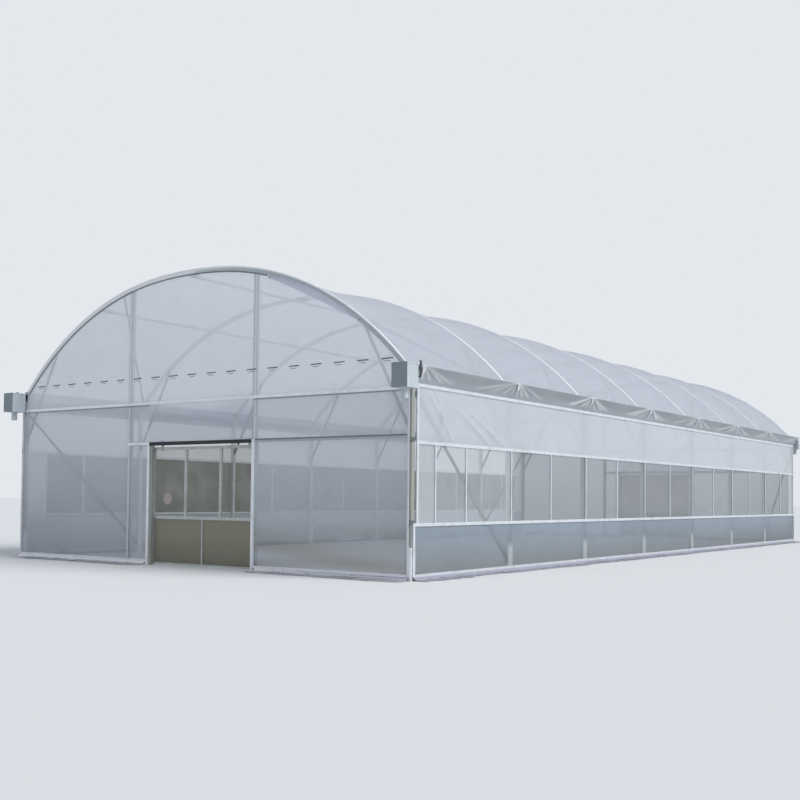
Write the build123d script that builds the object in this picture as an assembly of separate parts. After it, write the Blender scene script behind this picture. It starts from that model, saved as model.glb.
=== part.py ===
from build123d import *
import math
import os

# Polytunnel greenhouse: galvanised posts and hoops, a film roof between two rain gutters,
# film walls with a mesh window band, and a sliding door in each gable.
# Millimetres. +X is to the right seen from the front, the front gable faces -Y, Z is up,
# and the origin is on the ground in the middle of the plan.

os.makedirs("parts", exist_ok=True)

# Plan
bay_count = 7
bay_pitch = 3000.0
half_width = 4750.0
post_size = 80.0
stub_size = 100.0
stub_height = 500.0

# Heights, and drops below the top of the posts
post_top_z = 3120.0
bottom_rail_z = 75.0
sill_z = 842.0
window_height = 1250.0
top_rail_drop = 160.0
eaves_rail_drop = 204.0

# Arch of the roof film: a wide crown arc that runs on into a tighter arc on each side
arch_rise = 1942.0
crown_radius = 8690.0
crown_half_angle = 5.73

# Film and the strips that clamp it
film_thickness = 4.0
film_gap = 0.3
strip_width = 50.0
strip_depth = 20.0
strip_gap = 2.0
bottom_strip_width = 40.0
corner_strip_inset = 105.0
gable_corner_strip = 30.0
corner_strip_lap = 10.0
skirt_strip_inset = 25.0
arch_strip_width = 40.0
arch_strip_depth = 15.0
arch_strip_lift = 10.0

# Hoops
bow_depth = 60.0
bow_width = 60.0
sleeve_half_length = 120.0
sleeve_depth = 85.0
purlin_size = 40.0
purlin_from_foot = 2210.0
purlin_gap = 0.1

# Braces
knee_width = 42.0
knee_depth = 30.0
knee_drop = 820.0
knee_reach = 880.0
wind_width = 40.0
wind_depth = 30.0
wind_drop = 240.0
wind_foot_z = 190.0
roof_brace_size = 42.0
roof_brace_x = 1840.0

# Gutter, its saddles and the boxes at its ends
gutter_inset = 135.0
gutter_inner_flare = 30.0
gutter_floor_width = 180.0
gutter_outer_flare = 82.0
gutter_lip_height = 115.0
gutter_wall = 4.0
gutter_overrun = 50.0
saddle_thickness = 8.0
saddle_width = 80.0
upright_size = 95.0
upright_height = 172.0
upright_gap = 5.0
end_box_width = 286.0
end_box_length = 300.0
end_box_height = 373.0
end_box_shift = 15.0
end_box_rise = 17.0
outlet_diameter = 110.0
outlet_length = 160.0

# Window band, and the girts between the posts that back its rails
bar_width = 30.0
girt_height = 40.0
girt_gap = 0.3
end_panel_length = 630.0

# Gable frame and doorway
stud_x = 1540.0
stud_width = 80.0
stud_depth = 60.0
rail_height = 50.0
rail_depth = 40.0
jamb_x = -935.0
jamb_width = 80.0
door_head_z = 2155.0
head_rail_height = 60.0

# Sliding leaf
leaf_clearance = 12.0
leaf_depth = 40.0
leaf_overlap = 60.0
leaf_bottom_z = 18.0
leaf_top_gap = 40.0
leaf_rail = 50.0
leaf_foot_rail = 35.0
leaf_divider = 26.0
leaf_panel = 4.0
leaf_mid_z = 856.0
track_height = 40.0
track_depth = 12.0
track_drop = 5.0
standoff_size = 20.0
wheel_radius = 22.0
wheel_width = 28.0
running_gap = 0.3
strap_thickness = 6.0
strap_width = 60.0
strap_lap = 60.0
axle_radius = 8.0

# Loose flap of roof film over the front hoop
flap_from_foot = 887.0
flap_span = 1884.0
flap_drop = 112.0

frame_lines = [(i - bay_count / 2) * bay_pitch for i in range(bay_count + 1)]
gable_y = bay_count * bay_pitch / 2 + post_size / 2
post_inner_x = half_width - post_size
film_outer_x = half_width + film_thickness
strip_outer_x = film_outer_x + strip_depth
film_outer_y = gable_y + film_thickness
strip_outer_y = film_outer_y + strip_depth
corner_strip_x = post_inner_x + corner_strip_lap
film_edge_x = corner_strip_x + gable_corner_strip
wall_film_y = gable_y - corner_strip_inset
skirt_film_y = gable_y - skirt_strip_inset
window_top_z = sill_z + window_height
top_rail_z = post_top_z - top_rail_drop
eaves_rail_z = post_top_z - eaves_rail_drop

gutter_inner_x = half_width - gutter_inset
gutter_floor_inner_x = gutter_inner_x + gutter_inner_flare
gutter_floor_outer_x = gutter_floor_inner_x + gutter_floor_width
gutter_lip_x = gutter_floor_outer_x + gutter_outer_flare
saddle_top = post_top_z + saddle_thickness
gutter_lip_z = saddle_top + gutter_lip_height
upright_outer = gutter_inner_x - upright_gap
upright_inner = upright_outer - upright_size
bow_foot_z = saddle_top + upright_height

bow_outer = film_thickness + film_gap
bow_inner = bow_outer + bow_depth
ridge_z = bow_foot_z + arch_rise
crown_angle = math.radians(crown_half_angle)
crown_centre = (0.0, ridge_z - crown_radius)
crown_end = (crown_radius * math.sin(crown_angle), crown_centre[1] + crown_radius * math.cos(crown_angle))
foot_run = upright_outer - crown_end[0]
foot_fall = bow_foot_z - crown_end[1]
haunch_radius = -(foot_run**2 + foot_fall**2) / (
    2 * (foot_run * math.sin(crown_angle) + foot_fall * math.cos(crown_angle))
)
haunch_centre = (
    crown_end[0] - haunch_radius * math.sin(crown_angle),
    crown_end[1] - haunch_radius * math.cos(crown_angle),
)
purlin_x = upright_outer - purlin_from_foot


def block(x0, x1, y0, y1, z0, z1):
    """A box between two corners."""
    size = Box(abs(x1 - x0), abs(y1 - y0), abs(z1 - z0))
    return Pos((x0 + x1) / 2, (y0 + y1) / 2, (z0 + z1) / 2) * size


def prism_y(points, y0, y1):
    """A polygon of (x, z) points, drawn out along Y."""
    outline = Polyline(*[(x, y0, z) for x, z in points], close=True)
    return extrude(make_face(outline), amount=y1 - y0, dir=(0, 1, 0))


def prism_x(points, x0, x1):
    """A polygon of (y, z) points, drawn out along X."""
    outline = Polyline(*[(x0, y, z) for y, z in points], close=True)
    return extrude(make_face(outline), amount=x1 - x0, dir=(1, 0, 0))


def arch_point(inset, angle):
    """Point (x, z) on the arch, inset from its outer curve, at an angle from the vertical."""
    if abs(angle) <= crown_angle:
        radius = crown_radius - inset
        return (radius * math.sin(angle), crown_centre[1] + radius * math.cos(angle))
    radius = haunch_radius - inset
    side = math.copysign(1.0, angle)
    return (side * haunch_centre[0] + radius * math.sin(angle), haunch_centre[1] + radius * math.cos(angle))


def angle_at_x(inset, x):
    """Angle at which the inset curve stands over a given x."""
    angle = math.asin(x / (crown_radius - inset))
    if abs(angle) <= crown_angle:
        return angle
    side = math.copysign(1.0, x)
    return math.asin((x - side * haunch_centre[0]) / (haunch_radius - inset))


def angle_at_z(inset, z):
    """Angle, on the right, at which the inset curve comes down to a given height."""
    return math.acos((z - haunch_centre[1]) / (haunch_radius - inset))


def arch_z(inset, x):
    """Height of the inset curve over a given x."""
    return arch_point(inset, angle_at_x(inset, x))[1]


def arc_edges(inset, start, end, y):
    """Arcs along the inset curve from one angle to another, split where the radius changes."""
    low, high = min(start, end), max(start, end)
    stops = [low] + [a for a in (-crown_angle, crown_angle) if low < a < high] + [high]
    if start > end:
        stops.reverse()
    edges = []
    for a, b in zip(stops, stops[1:]):
        points = [arch_point(inset, t) for t in (a, (a + b) / 2, b)]
        edges.append(ThreePointArc(*[(x, y, z) for x, z in points]))
    return edges


def arch_band(outer, inner, outer_ends, inner_ends, y0, y1):
    """Curved strip between two inset curves, each between its own two angles."""
    top = arc_edges(outer, outer_ends[0], outer_ends[1], y0)
    bottom = arc_edges(inner, inner_ends[1], inner_ends[0], y0)
    right = Line(top[-1] @ 1, bottom[0] @ 0)
    left = Line(bottom[-1] @ 1, top[0] @ 0)
    face = make_face(Curve() + top + [right] + bottom + [left])
    return extrude(face, amount=y1 - y0, dir=(0, 1, 0))


def mirror_x(solids):
    """The same solids on the other side of the middle plane."""
    return [mirror(s, about=Plane.YZ) for s in solids]


def save(name, solids):
    """Write one node, as separate solids or as one."""
    shape = Compound(children=list(solids)) if len(solids) > 1 else solids[0]
    export_step(shape, f"parts/{name}.step")


def frame_band(line, depth):
    """Y range of a piece of a frame: centred, or flush with the gable on the end frames."""
    if line == frame_lines[0]:
        return (-gable_y, -gable_y + depth)
    if line == frame_lines[-1]:
        return (gable_y - depth, gable_y)
    return (line - depth / 2, line + depth / 2)


# Posts of square tube, each in a wider ground stub
posts = []
stubs = []
for line in frame_lines:
    y0, y1 = frame_band(line, post_size)
    posts.append(block(post_inner_x, half_width, y0, y1, stub_height, post_top_z))
    y0, y1 = frame_band(line, stub_size)
    stubs.append(block(half_width - stub_size, half_width, y0, y1, 0, stub_height))
save("posts", posts + mirror_x(posts))
save("ground_stubs", stubs + mirror_x(stubs))

# Hoops, each of two bent bows that butt against a sleeve at the crown
right_bows = []
sleeves = []
sleeve_top = arch_z(bow_outer, sleeve_half_length)
sleeve_bottom = sleeve_top - sleeve_depth
for line in frame_lines:
    y0, y1 = frame_band(line, bow_width)
    outer_ends = (angle_at_x(bow_outer, sleeve_half_length), angle_at_z(bow_outer, bow_foot_z))
    inner_ends = (angle_at_x(bow_inner, sleeve_half_length), angle_at_z(bow_inner, bow_foot_z))
    right_bows.append(arch_band(bow_outer, bow_inner, outer_ends, inner_ends, y0, y1))
    y0, y1 = frame_band(line, post_size)
    sleeves.append(block(-sleeve_half_length, sleeve_half_length, y0, y1, sleeve_bottom, sleeve_top))
save("right_bows", right_bows)
save("left_bows", mirror_x(right_bows))
save("crown_sleeves", sleeves)

# Purlins under the hoops: one at the ridge and one halfway down each side
ridge_purlin = block(
    -purlin_size / 2, purlin_size / 2, -gable_y, gable_y, sleeve_bottom - purlin_size, sleeve_bottom
)
purlin_angle = angle_at_x(bow_inner, purlin_x)
along = (math.cos(purlin_angle), -math.sin(purlin_angle))
inward = (-math.sin(purlin_angle), -math.cos(purlin_angle))
seat = arch_point(bow_inner + purlin_gap, purlin_angle)
half = purlin_size / 2
corners = [(-half, 0), (half, 0), (half, purlin_size), (-half, purlin_size)]
section = [(seat[0] + along[0] * a + inward[0] * b, seat[1] + along[1] * a + inward[1] * b) for a, b in corners]
side_purlin = prism_y(section, -gable_y, gable_y)
save("purlins", [ridge_purlin, side_purlin] + mirror_x([side_purlin]))


def meet_arch(point, direction, inset):
    """Where a line running up from a point meets the inset curve."""
    radius = haunch_radius - inset
    px, pz = point[0] - haunch_centre[0], point[1] - haunch_centre[1]
    b = px * direction[0] + pz * direction[1]
    c = px * px + pz * pz - radius * radius
    t = -b + math.sqrt(b * b - c)
    return (point[0] + direction[0] * t, point[1] + direction[1] * t)


# Knee brace in the corner of every frame, from the post to the hoop
knee_post_z = post_top_z - knee_drop
knee_rise = arch_z(bow_inner, post_inner_x - knee_reach) - knee_post_z
knee_length = math.hypot(knee_reach, knee_rise)
knee_dir = (-knee_reach / knee_length, knee_rise / knee_length)
lift = knee_width / 2 / abs(knee_dir[0])
knee_low = (post_inner_x, knee_post_z - lift)
knee_high = (post_inner_x, knee_post_z + lift)
knee_section = [
    knee_low,
    knee_high,
    meet_arch(knee_high, knee_dir, bow_inner + purlin_gap),
    meet_arch(knee_low, knee_dir, bow_inner + purlin_gap),
]
knees = []
for line in frame_lines:
    y0, y1 = frame_band(line, knee_depth)
    if line in (frame_lines[0], frame_lines[-1]):
        shift = (rail_depth + film_gap) * math.copysign(1.0, -line)
        y0, y1 = y0 + shift, y1 + shift
    knees.append(prism_y(knee_section, y0, y1))
save("knee_braces", knees + mirror_x(knees))

# Wind brace across the end bays, between the corner post and the foot of the next one
brace_start = gable_y - post_size
brace_end = frame_lines[-2] + post_size / 2
wind_top_z = post_top_z - wind_drop
slope = math.atan2(wind_top_z - wind_foot_z, brace_start - brace_end)
rise = wind_width / 2 / math.cos(slope)
stub_edge = frame_lines[-2] + stub_size / 2
foot_z = wind_foot_z + (stub_edge - brace_end) * math.tan(slope)
wind_section = [
    (brace_start, wind_top_z - rise),
    (brace_start, wind_top_z + rise),
    (stub_edge, foot_z + rise),
    (stub_edge, foot_z - rise),
]
wind_x = half_width - post_size / 2 - wind_depth / 2
back_brace = prism_x(wind_section, wind_x, wind_x + wind_depth)
front_brace = mirror(back_brace, about=Plane.XZ)
save("wind_braces", [back_brace, front_brace] + mirror_x([back_brace, front_brace]))

# Roof brace in the end bays, from high on the end hoop down to the foot of the next one
brace_y0 = -gable_y + bow_width
brace_y1 = frame_lines[1] - bow_width / 2
brace_head = (roof_brace_x, arch_z((bow_outer + bow_inner) / 2, roof_brace_x))
brace_foot = ((upright_inner + upright_outer) / 2, (saddle_top + bow_foot_z) / 2)
brace_run = (brace_foot[0] - brace_head[0], brace_y1 - brace_y0, brace_foot[1] - brace_head[1])
half_brace = roof_brace_size / 2
brace_outline = Polyline(
    (brace_head[0] - half_brace, brace_y0, brace_head[1] - half_brace),
    (brace_head[0] + half_brace, brace_y0, brace_head[1] - half_brace),
    (brace_head[0] + half_brace, brace_y0, brace_head[1] + half_brace),
    (brace_head[0] - half_brace, brace_y0, brace_head[1] + half_brace),
    close=True,
)
front_roof_brace = extrude(make_face(brace_outline), amount=math.hypot(*brace_run), dir=brace_run)
roof_braces = [front_roof_brace, mirror(front_roof_brace, about=Plane.XZ)]
save("roof_braces", roof_braces + mirror_x(roof_braces))

# Saddles on the posts, which carry the gutters, and an upright on each for the hoop's foot
saddles = []
feet = []
for line in frame_lines:
    y0, y1 = frame_band(line, saddle_width)
    saddles.append(block(upright_inner, gutter_floor_outer_x, y0, y1, post_top_z, saddle_top))
    y0, y1 = frame_band(line, bow_width)
    feet.append(block(upright_inner, upright_outer, y0, y1, saddle_top, bow_foot_z))
save("gutter_saddles", saddles + mirror_x(saddles))
save("bow_feet", feet + mirror_x(feet))

# Rain gutters: folded sheet channels, open on top, that run past both gables
gutter_end = gable_y + gutter_overrun
outer_section = [
    (gutter_inner_x, bow_foot_z),
    (gutter_floor_inner_x, saddle_top),
    (gutter_floor_outer_x, saddle_top),
    (gutter_lip_x, gutter_lip_z),
]
in_slope = (gutter_floor_inner_x - gutter_inner_x) / (bow_foot_z - saddle_top)
out_slope = (gutter_lip_x - gutter_floor_outer_x) / (gutter_lip_z - saddle_top)
floor_z = saddle_top + gutter_wall
cut_z = bow_foot_z + saddle_thickness
cut_section = [
    (gutter_floor_inner_x + gutter_wall - in_slope * (cut_z - saddle_top), cut_z),
    (gutter_floor_inner_x + gutter_wall - in_slope * gutter_wall, floor_z),
    (gutter_floor_outer_x - gutter_wall + out_slope * gutter_wall, floor_z),
    (gutter_floor_outer_x - gutter_wall + out_slope * (cut_z - saddle_top), cut_z),
]
gutter = prism_y(outer_section, -gutter_end, gutter_end) - prism_y(cut_section, -gutter_end, gutter_end)
save("right_gutter", [gutter])
save("left_gutter", mirror_x([gutter]))

# Closed box at each gutter end, with a round outlet below
end_box_x = (gutter_floor_inner_x + gutter_floor_outer_x) / 2 + end_box_shift
box_top = gutter_lip_z + end_box_rise
box_floor = box_top - end_box_height
front_box = block(
    end_box_x - end_box_width / 2,
    end_box_x + end_box_width / 2,
    -gutter_end - end_box_length,
    -gutter_end,
    box_floor,
    box_top,
)
outlet = Cylinder(outlet_diameter / 2, outlet_length, align=(Align.CENTER, Align.CENTER, Align.MAX))
front_box += Pos(end_box_x, -gutter_end - end_box_length / 2, box_floor) * outlet
back_box = mirror(front_box, about=Plane.XZ)
save("gutter_end_boxes", [front_box, back_box] + mirror_x([front_box, back_box]))

# Roof film over the hoops, from gutter to gutter
outer_foot = angle_at_z(0, bow_foot_z)
inner_foot = angle_at_z(film_thickness, bow_foot_z)
roof_film = arch_band(
    0, film_thickness, (-outer_foot, outer_foot), (-inner_foot, inner_foot), -gable_y, gable_y
)
save("roof_film", [roof_film])

# Film and mesh of the long walls, in one plane against the posts
def side_sheet(y0, y1, z0, z1):
    return block(half_width, film_outer_x, y0, y1, z0, z1)


upper_film = side_sheet(-wall_film_y, wall_film_y, window_top_z, top_rail_z)
skirt_film = side_sheet(-skirt_film_y, skirt_film_y, 0, sill_z)
mesh_end = gable_y - end_panel_length
window_mesh = side_sheet(-mesh_end, mesh_end, sill_z, window_top_z)
end_panels = [
    side_sheet(-wall_film_y, -mesh_end, sill_z, window_top_z),
    side_sheet(mesh_end, wall_film_y, sill_z, window_top_z),
]
save("right_upper_film", [upper_film])
save("left_upper_film", mirror_x([upper_film]))
save("right_skirt_film", [skirt_film])
save("left_skirt_film", mirror_x([skirt_film]))
save("right_window_mesh", [window_mesh])
save("left_window_mesh", mirror_x([window_mesh]))
save("window_end_panels", end_panels + mirror_x(end_panels))

# Girts between the posts at the sill and at the head of the window band, clear of the wind braces
girt_inner_x = wind_x + wind_depth + girt_gap
girts = []
for a, b in zip(frame_lines, frame_lines[1:]):
    y0 = frame_band(a, post_size)[1]
    y1 = frame_band(b, post_size)[0]
    for z in (sill_z, window_top_z):
        girts.append(block(girt_inner_x, half_width, y0, y1, z - girt_height / 2, z + girt_height / 2))
save("wall_girts", girts + mirror_x(girts))

# Strips on the corners, and the rails that clamp the sheets between them
strip_top = top_rail_z + strip_width / 2
strip_foot = bottom_rail_z - bottom_strip_width / 2
sill_low = sill_z - strip_width / 2
sill_high = sill_z + strip_width / 2
wall_strip_end = wall_film_y - strip_width
skirt_strip_end = skirt_film_y - strip_width
right_corners = [
    block(film_outer_x, strip_outer_x, wall_strip_end, wall_film_y, sill_high, strip_top),
    block(film_outer_x, strip_outer_x, skirt_strip_end, skirt_film_y, strip_foot, sill_low),
    block(corner_strip_x, film_edge_x, film_outer_y, strip_outer_y, strip_foot, strip_top),
]
right_corners += [mirror(s, about=Plane.XZ) for s in right_corners]
save("corner_strips", right_corners + mirror_x(right_corners))


def side_rail(end, z, height):
    return block(film_outer_x, strip_outer_x, -end, end, z - height / 2, z + height / 2)


top_rail = side_rail(wall_strip_end, top_rail_z, strip_width)
bottom_rail = side_rail(skirt_strip_end, bottom_rail_z, bottom_strip_width)
save("side_top_rails", [top_rail] + mirror_x([top_rail]))
save("side_bottom_rails", [bottom_rail] + mirror_x([bottom_rail]))

# Window frame: sill and head rails joined by a bar at every post and every half bay
window_bars = [
    frame_lines[0] + i * bay_pitch / 2 for i in range(1, 2 * bay_count)
] + [-mesh_end, mesh_end]
window_frame = side_rail(skirt_film_y, sill_z, strip_width)
window_frame += side_rail(wall_strip_end, window_top_z, strip_width)
for y in window_bars:
    window_frame += block(
        film_outer_x, strip_outer_x, y - bar_width / 2, y + bar_width / 2, sill_z, window_top_z
    )
save("right_window_frame", [window_frame])
save("left_window_frame", mirror_x([window_frame]))

# Film flap that hangs from the gutter's lip back to the top rail
flap_top = gutter_lip_x + film_gap
flap_section = [
    (flap_top, gutter_lip_z),
    (flap_top + film_thickness, gutter_lip_z),
    (strip_outer_x + film_thickness, strip_top),
    (strip_outer_x, strip_top),
]
gutter_flap = prism_y(flap_section, -gable_y, gable_y)
save("right_gutter_flap", [gutter_flap])
save("left_gutter_flap", mirror_x([gutter_flap]))

# Gable frame: two studs up to the hoop, the doorway's left jamb, eaves and head rails
door_right_x = stud_x - stud_width / 2
stud_left_x = -stud_x + stud_width / 2
head_top_z = door_head_z + head_rail_height
stud_half = stud_width / 2
stud_inset = bow_inner + purlin_gap
stud_section = [
    (stud_x - stud_half, 0),
    (stud_x + stud_half, 0),
    (stud_x + stud_half, arch_z(stud_inset, stud_x + stud_half)),
    (stud_x - stud_half, arch_z(stud_inset, stud_x - stud_half)),
]
right_stud = prism_y(stud_section, -gable_y, -gable_y + stud_depth)
left_stud = mirror(right_stud, about=Plane.YZ)
jamb = block(jamb_x - jamb_width, jamb_x, -gable_y, -gable_y + stud_depth, 0, door_head_z)
front_studs = [right_stud, left_stud, jamb]


def gable_rail(x0, x1, z0, z1):
    return block(x0, x1, -gable_y, -gable_y + rail_depth, z0, z1)


eaves_low = eaves_rail_z - rail_height / 2
eaves_high = eaves_rail_z + rail_height / 2
front_rails = [
    gable_rail(-post_inner_x, -stud_x - stud_half, eaves_low, eaves_high),
    gable_rail(stud_left_x, door_right_x, eaves_low, eaves_high),
    gable_rail(stud_x + stud_half, post_inner_x, eaves_low, eaves_high),
    gable_rail(stud_left_x, door_right_x, door_head_z, head_top_z),
    gable_rail(stud_x + stud_half, post_inner_x, door_head_z, head_top_z),
]

# Film of the gable: the arch with the piece over the doorway, and a wall panel each side
film_left_x = jamb_x - jamb_width
film_right_x = stud_x
film_head_z = door_head_z + head_rail_height / 2
arch_foot = angle_at_z(bow_outer, bow_foot_z)
foot_x = arch_point(bow_outer, arch_foot)[0]
arch_edges = arc_edges(bow_outer, -arch_foot, arch_foot, -film_outer_y)
film_corners = [
    arch_point(bow_outer, arch_foot),
    (foot_x, post_top_z),
    (film_edge_x, post_top_z),
    (film_edge_x, eaves_rail_z),
    (film_right_x, eaves_rail_z),
    (film_right_x, film_head_z),
    (film_left_x, film_head_z),
    (film_left_x, eaves_rail_z),
    (-film_edge_x, eaves_rail_z),
    (-film_edge_x, post_top_z),
    (-foot_x, post_top_z),
    arch_point(bow_outer, -arch_foot),
]
film_line = Polyline(arch_edges[-1] @ 1, *[(x, -film_outer_y, z) for x, z in film_corners[1:-1]],
                     arch_edges[0] @ 0)
front_gable_film = extrude(
    make_face(Curve() + arch_edges + [film_line]), amount=film_thickness, dir=(0, 1, 0)
)
front_wall_films = [
    block(-film_edge_x, film_left_x, -film_outer_y, -gable_y, 0, eaves_rail_z),
    block(film_right_x, film_edge_x, -film_outer_y, -gable_y, 0, eaves_rail_z),
]


# Strips over the gable film: at the eaves, along the foot and round the doorway
def gable_strip(x0, x1, z0, z1):
    return block(x0, x1, -strip_outer_y, -film_outer_y, z0, z1)


corner_x = corner_strip_x - strip_gap
jamb_strip_left = film_left_x - strip_width / 2
door_strip_right = film_right_x + strip_width / 2
strip_high = bottom_rail_z + bottom_strip_width / 2
head_strip_low = film_head_z - strip_width / 2
front_strips = [
    gable_strip(-corner_x, corner_x, eaves_low, eaves_high),
    gable_strip(-corner_x, jamb_strip_left - strip_gap, strip_foot, strip_high),
    gable_strip(door_strip_right + strip_gap, corner_x, strip_foot, strip_high),
    gable_strip(jamb_strip_left, jamb_strip_left + strip_width, 0, head_strip_low - strip_gap),
    gable_strip(door_strip_right - strip_width, door_strip_right, 0, head_strip_low - strip_gap),
    gable_strip(jamb_strip_left, door_strip_right, head_strip_low, head_strip_low + strip_width),
]

# Curved strip that clamps the roof film down on the end hoops
arch_strip_low = -film_gap
arch_strip_high = arch_strip_low - arch_strip_depth
arch_strip_foot = bow_foot_z + arch_strip_lift
strip_outer_foot = angle_at_z(arch_strip_high, arch_strip_foot)
strip_inner_foot = angle_at_z(arch_strip_low, arch_strip_foot)
front_arch_strip = arch_band(
    arch_strip_high,
    arch_strip_low,
    (-strip_outer_foot, strip_outer_foot),
    (-strip_inner_foot, strip_inner_foot),
    -gable_y,
    -gable_y + arch_strip_width,
)
save("arch_strips", [front_arch_strip, mirror(front_arch_strip, about=Plane.XZ)])

# Flap of roof film that hangs loose over the right of the front hoop
flap_outer_x = upright_outer - flap_from_foot
flap_inner_x = flap_outer_x - flap_span
flap_start = angle_at_x(bow_outer, flap_inner_x)
flap_stop = angle_at_x(bow_outer, flap_outer_x)
flap_y = -film_outer_y - film_gap - film_thickness
flap_edges = arc_edges(bow_outer, flap_start, flap_stop, flap_y)
flap_low = [
    (flap_outer_x, flap_y, arch_z(bow_outer, flap_outer_x) - flap_drop),
    (flap_inner_x, flap_y, arch_z(bow_outer, flap_inner_x) - flap_drop),
]
flap_line = Polyline(flap_edges[-1] @ 1, *flap_low, flap_edges[0] @ 0)
film_flap = extrude(make_face(Curve() + flap_edges + [flap_line]), amount=film_thickness, dir=(0, 1, 0))
save("front_film_flap", [film_flap])

# Door track: a flat bar on standoffs, along the inside of the gable as far as the corner post
leaf_outer_y = gable_y - stud_depth - leaf_clearance
leaf_inner_y = leaf_outer_y - leaf_depth
track_y = (leaf_outer_y + leaf_inner_y) / 2
track_low = door_head_z + track_drop
track_top = track_low + track_height
track_left = jamb_x - jamb_width - leaf_overlap
track_right = post_inner_x - strip_gap
track = block(
    track_left, track_right, -track_y - track_depth / 2, -track_y + track_depth / 2, track_low, track_top
)
standoff_z = track_low + track_height / 2
standoff_span = door_right_x - jamb_x
standoff_xs = [
    jamb_x - jamb_width / 2,
    jamb_x + standoff_span / 2,
    door_right_x - jamb_width,
    stud_x + stud_half + standoff_span / 4,
    (stud_x + post_inner_x) / 2 + standoff_span / 6,
    post_inner_x - jamb_width,
]
for x in standoff_xs:
    track += block(
        x - standoff_size / 2,
        x + standoff_size / 2,
        -gable_y + rail_depth,
        -track_y - track_depth / 2,
        standoff_z - standoff_size / 2,
        standoff_z + standoff_size / 2,
    )
save("door_tracks", [track, mirror(track, about=Plane.XZ)])

# Leaf: three panes of mesh over two film panels, in a frame of box section
leaf_left = jamb_x - leaf_overlap
leaf_right = door_right_x + leaf_overlap
leaf_top_z = track_low - leaf_top_gap
leaf_width = leaf_right - leaf_left
mid_low = leaf_mid_z - leaf_rail / 2
mid_high = leaf_mid_z + leaf_rail / 2
pane_low = leaf_bottom_z + leaf_foot_rail
pane_high = leaf_top_z - leaf_rail


def leaf_block(x0, x1, z0, z1):
    return block(x0, x1, -leaf_outer_y, -leaf_inner_y, z0, z1)


def pane_block(x0, x1, z0, z1):
    middle = -track_y
    return block(x0, x1, middle - leaf_panel / 2, middle + leaf_panel / 2, z0, z1)


upper_x = [leaf_left + leaf_width * i / 3 for i in (1, 2)]
lower_x = [leaf_left + leaf_width / 2]
leaf_frame = leaf_block(leaf_left, leaf_left + leaf_rail, leaf_bottom_z, leaf_top_z)
leaf_frame += leaf_block(leaf_right - leaf_rail, leaf_right, leaf_bottom_z, leaf_top_z)
leaf_frame += leaf_block(leaf_left, leaf_right, leaf_bottom_z, pane_low)
leaf_frame += leaf_block(leaf_left, leaf_right, mid_low, mid_high)
leaf_frame += leaf_block(leaf_left, leaf_right, pane_high, leaf_top_z)
for x in upper_x:
    leaf_frame += leaf_block(x - leaf_rail / 2, x + leaf_rail / 2, mid_high, pane_high)
for x in lower_x:
    leaf_frame += leaf_block(x - leaf_divider / 2, x + leaf_divider / 2, pane_low, mid_low)


def pane_row(mullions, mullion_width, z0, z1):
    """One pane between each two upright members."""
    starts = [leaf_left + leaf_rail] + [x + mullion_width / 2 for x in mullions]
    stops = [x - mullion_width / 2 for x in mullions] + [leaf_right - leaf_rail]
    return [pane_block(a, b, z0, z1) for a, b in zip(starts, stops)]


door_mesh = pane_row(upper_x, leaf_rail, mid_high, pane_high)
door_panels = pane_row(lower_x, leaf_divider, pane_low, mid_low)

# Hangers: a strap up the inner face of the leaf, with a wheel that runs on the track
wheel_z = track_top + running_gap + wheel_radius
strap_y0 = -leaf_inner_y
strap_y1 = -leaf_inner_y + strap_thickness
wheel_y0 = -track_y - wheel_width / 2
wheel_y1 = -track_y + wheel_width / 2
hangers = []
for x in (leaf_left + leaf_width / 12, leaf_right - leaf_width / 12):
    strap = block(
        x - strap_width / 2,
        x + strap_width / 2,
        strap_y0,
        strap_y1,
        leaf_top_z - strap_lap,
        wheel_z + wheel_radius,
    )
    wheel = Pos(x, (wheel_y0 + wheel_y1) / 2, wheel_z) * Rot(90, 0, 0) * Cylinder(wheel_radius, wheel_width)
    axle = Pos(x, (wheel_y1 + strap_y0) / 2, wheel_z) * Rot(90, 0, 0) * Cylinder(
        axle_radius, strap_y0 - wheel_y1
    )
    hangers.append(strap + axle + wheel)

# The same gable and door stand at both ends
front_pieces = {
    "studs": front_studs,
    "rails": front_rails,
    "gable_film": [front_gable_film],
    "wall_films": front_wall_films,
    "strips": front_strips,
    "door_frame": [leaf_frame],
    "door_mesh": door_mesh,
    "door_panels": door_panels,
    "door_hangers": hangers,
}
for name, solids in front_pieces.items():
    save(f"front_{name}", solids)
    save(f"back_{name}", [mirror(s, about=Plane.XZ) for s in solids])
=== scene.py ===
import math

import bmesh
import bpy
import numpy as np
from mathutils import Matrix, Vector


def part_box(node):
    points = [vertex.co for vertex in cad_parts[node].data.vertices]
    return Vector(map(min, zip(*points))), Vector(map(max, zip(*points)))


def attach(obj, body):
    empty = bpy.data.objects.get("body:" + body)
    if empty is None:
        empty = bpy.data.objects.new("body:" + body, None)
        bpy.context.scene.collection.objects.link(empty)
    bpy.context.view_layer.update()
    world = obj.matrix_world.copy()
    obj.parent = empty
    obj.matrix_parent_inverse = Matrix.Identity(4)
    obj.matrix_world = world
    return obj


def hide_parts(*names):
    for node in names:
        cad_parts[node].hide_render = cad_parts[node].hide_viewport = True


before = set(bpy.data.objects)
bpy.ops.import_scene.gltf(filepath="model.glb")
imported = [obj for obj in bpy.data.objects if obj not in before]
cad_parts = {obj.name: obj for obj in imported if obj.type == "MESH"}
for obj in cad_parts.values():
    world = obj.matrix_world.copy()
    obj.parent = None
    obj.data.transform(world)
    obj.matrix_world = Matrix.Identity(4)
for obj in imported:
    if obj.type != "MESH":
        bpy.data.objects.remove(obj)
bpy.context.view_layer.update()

scene = bpy.context.scene
scene.view_settings.view_transform = "Standard"

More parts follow.
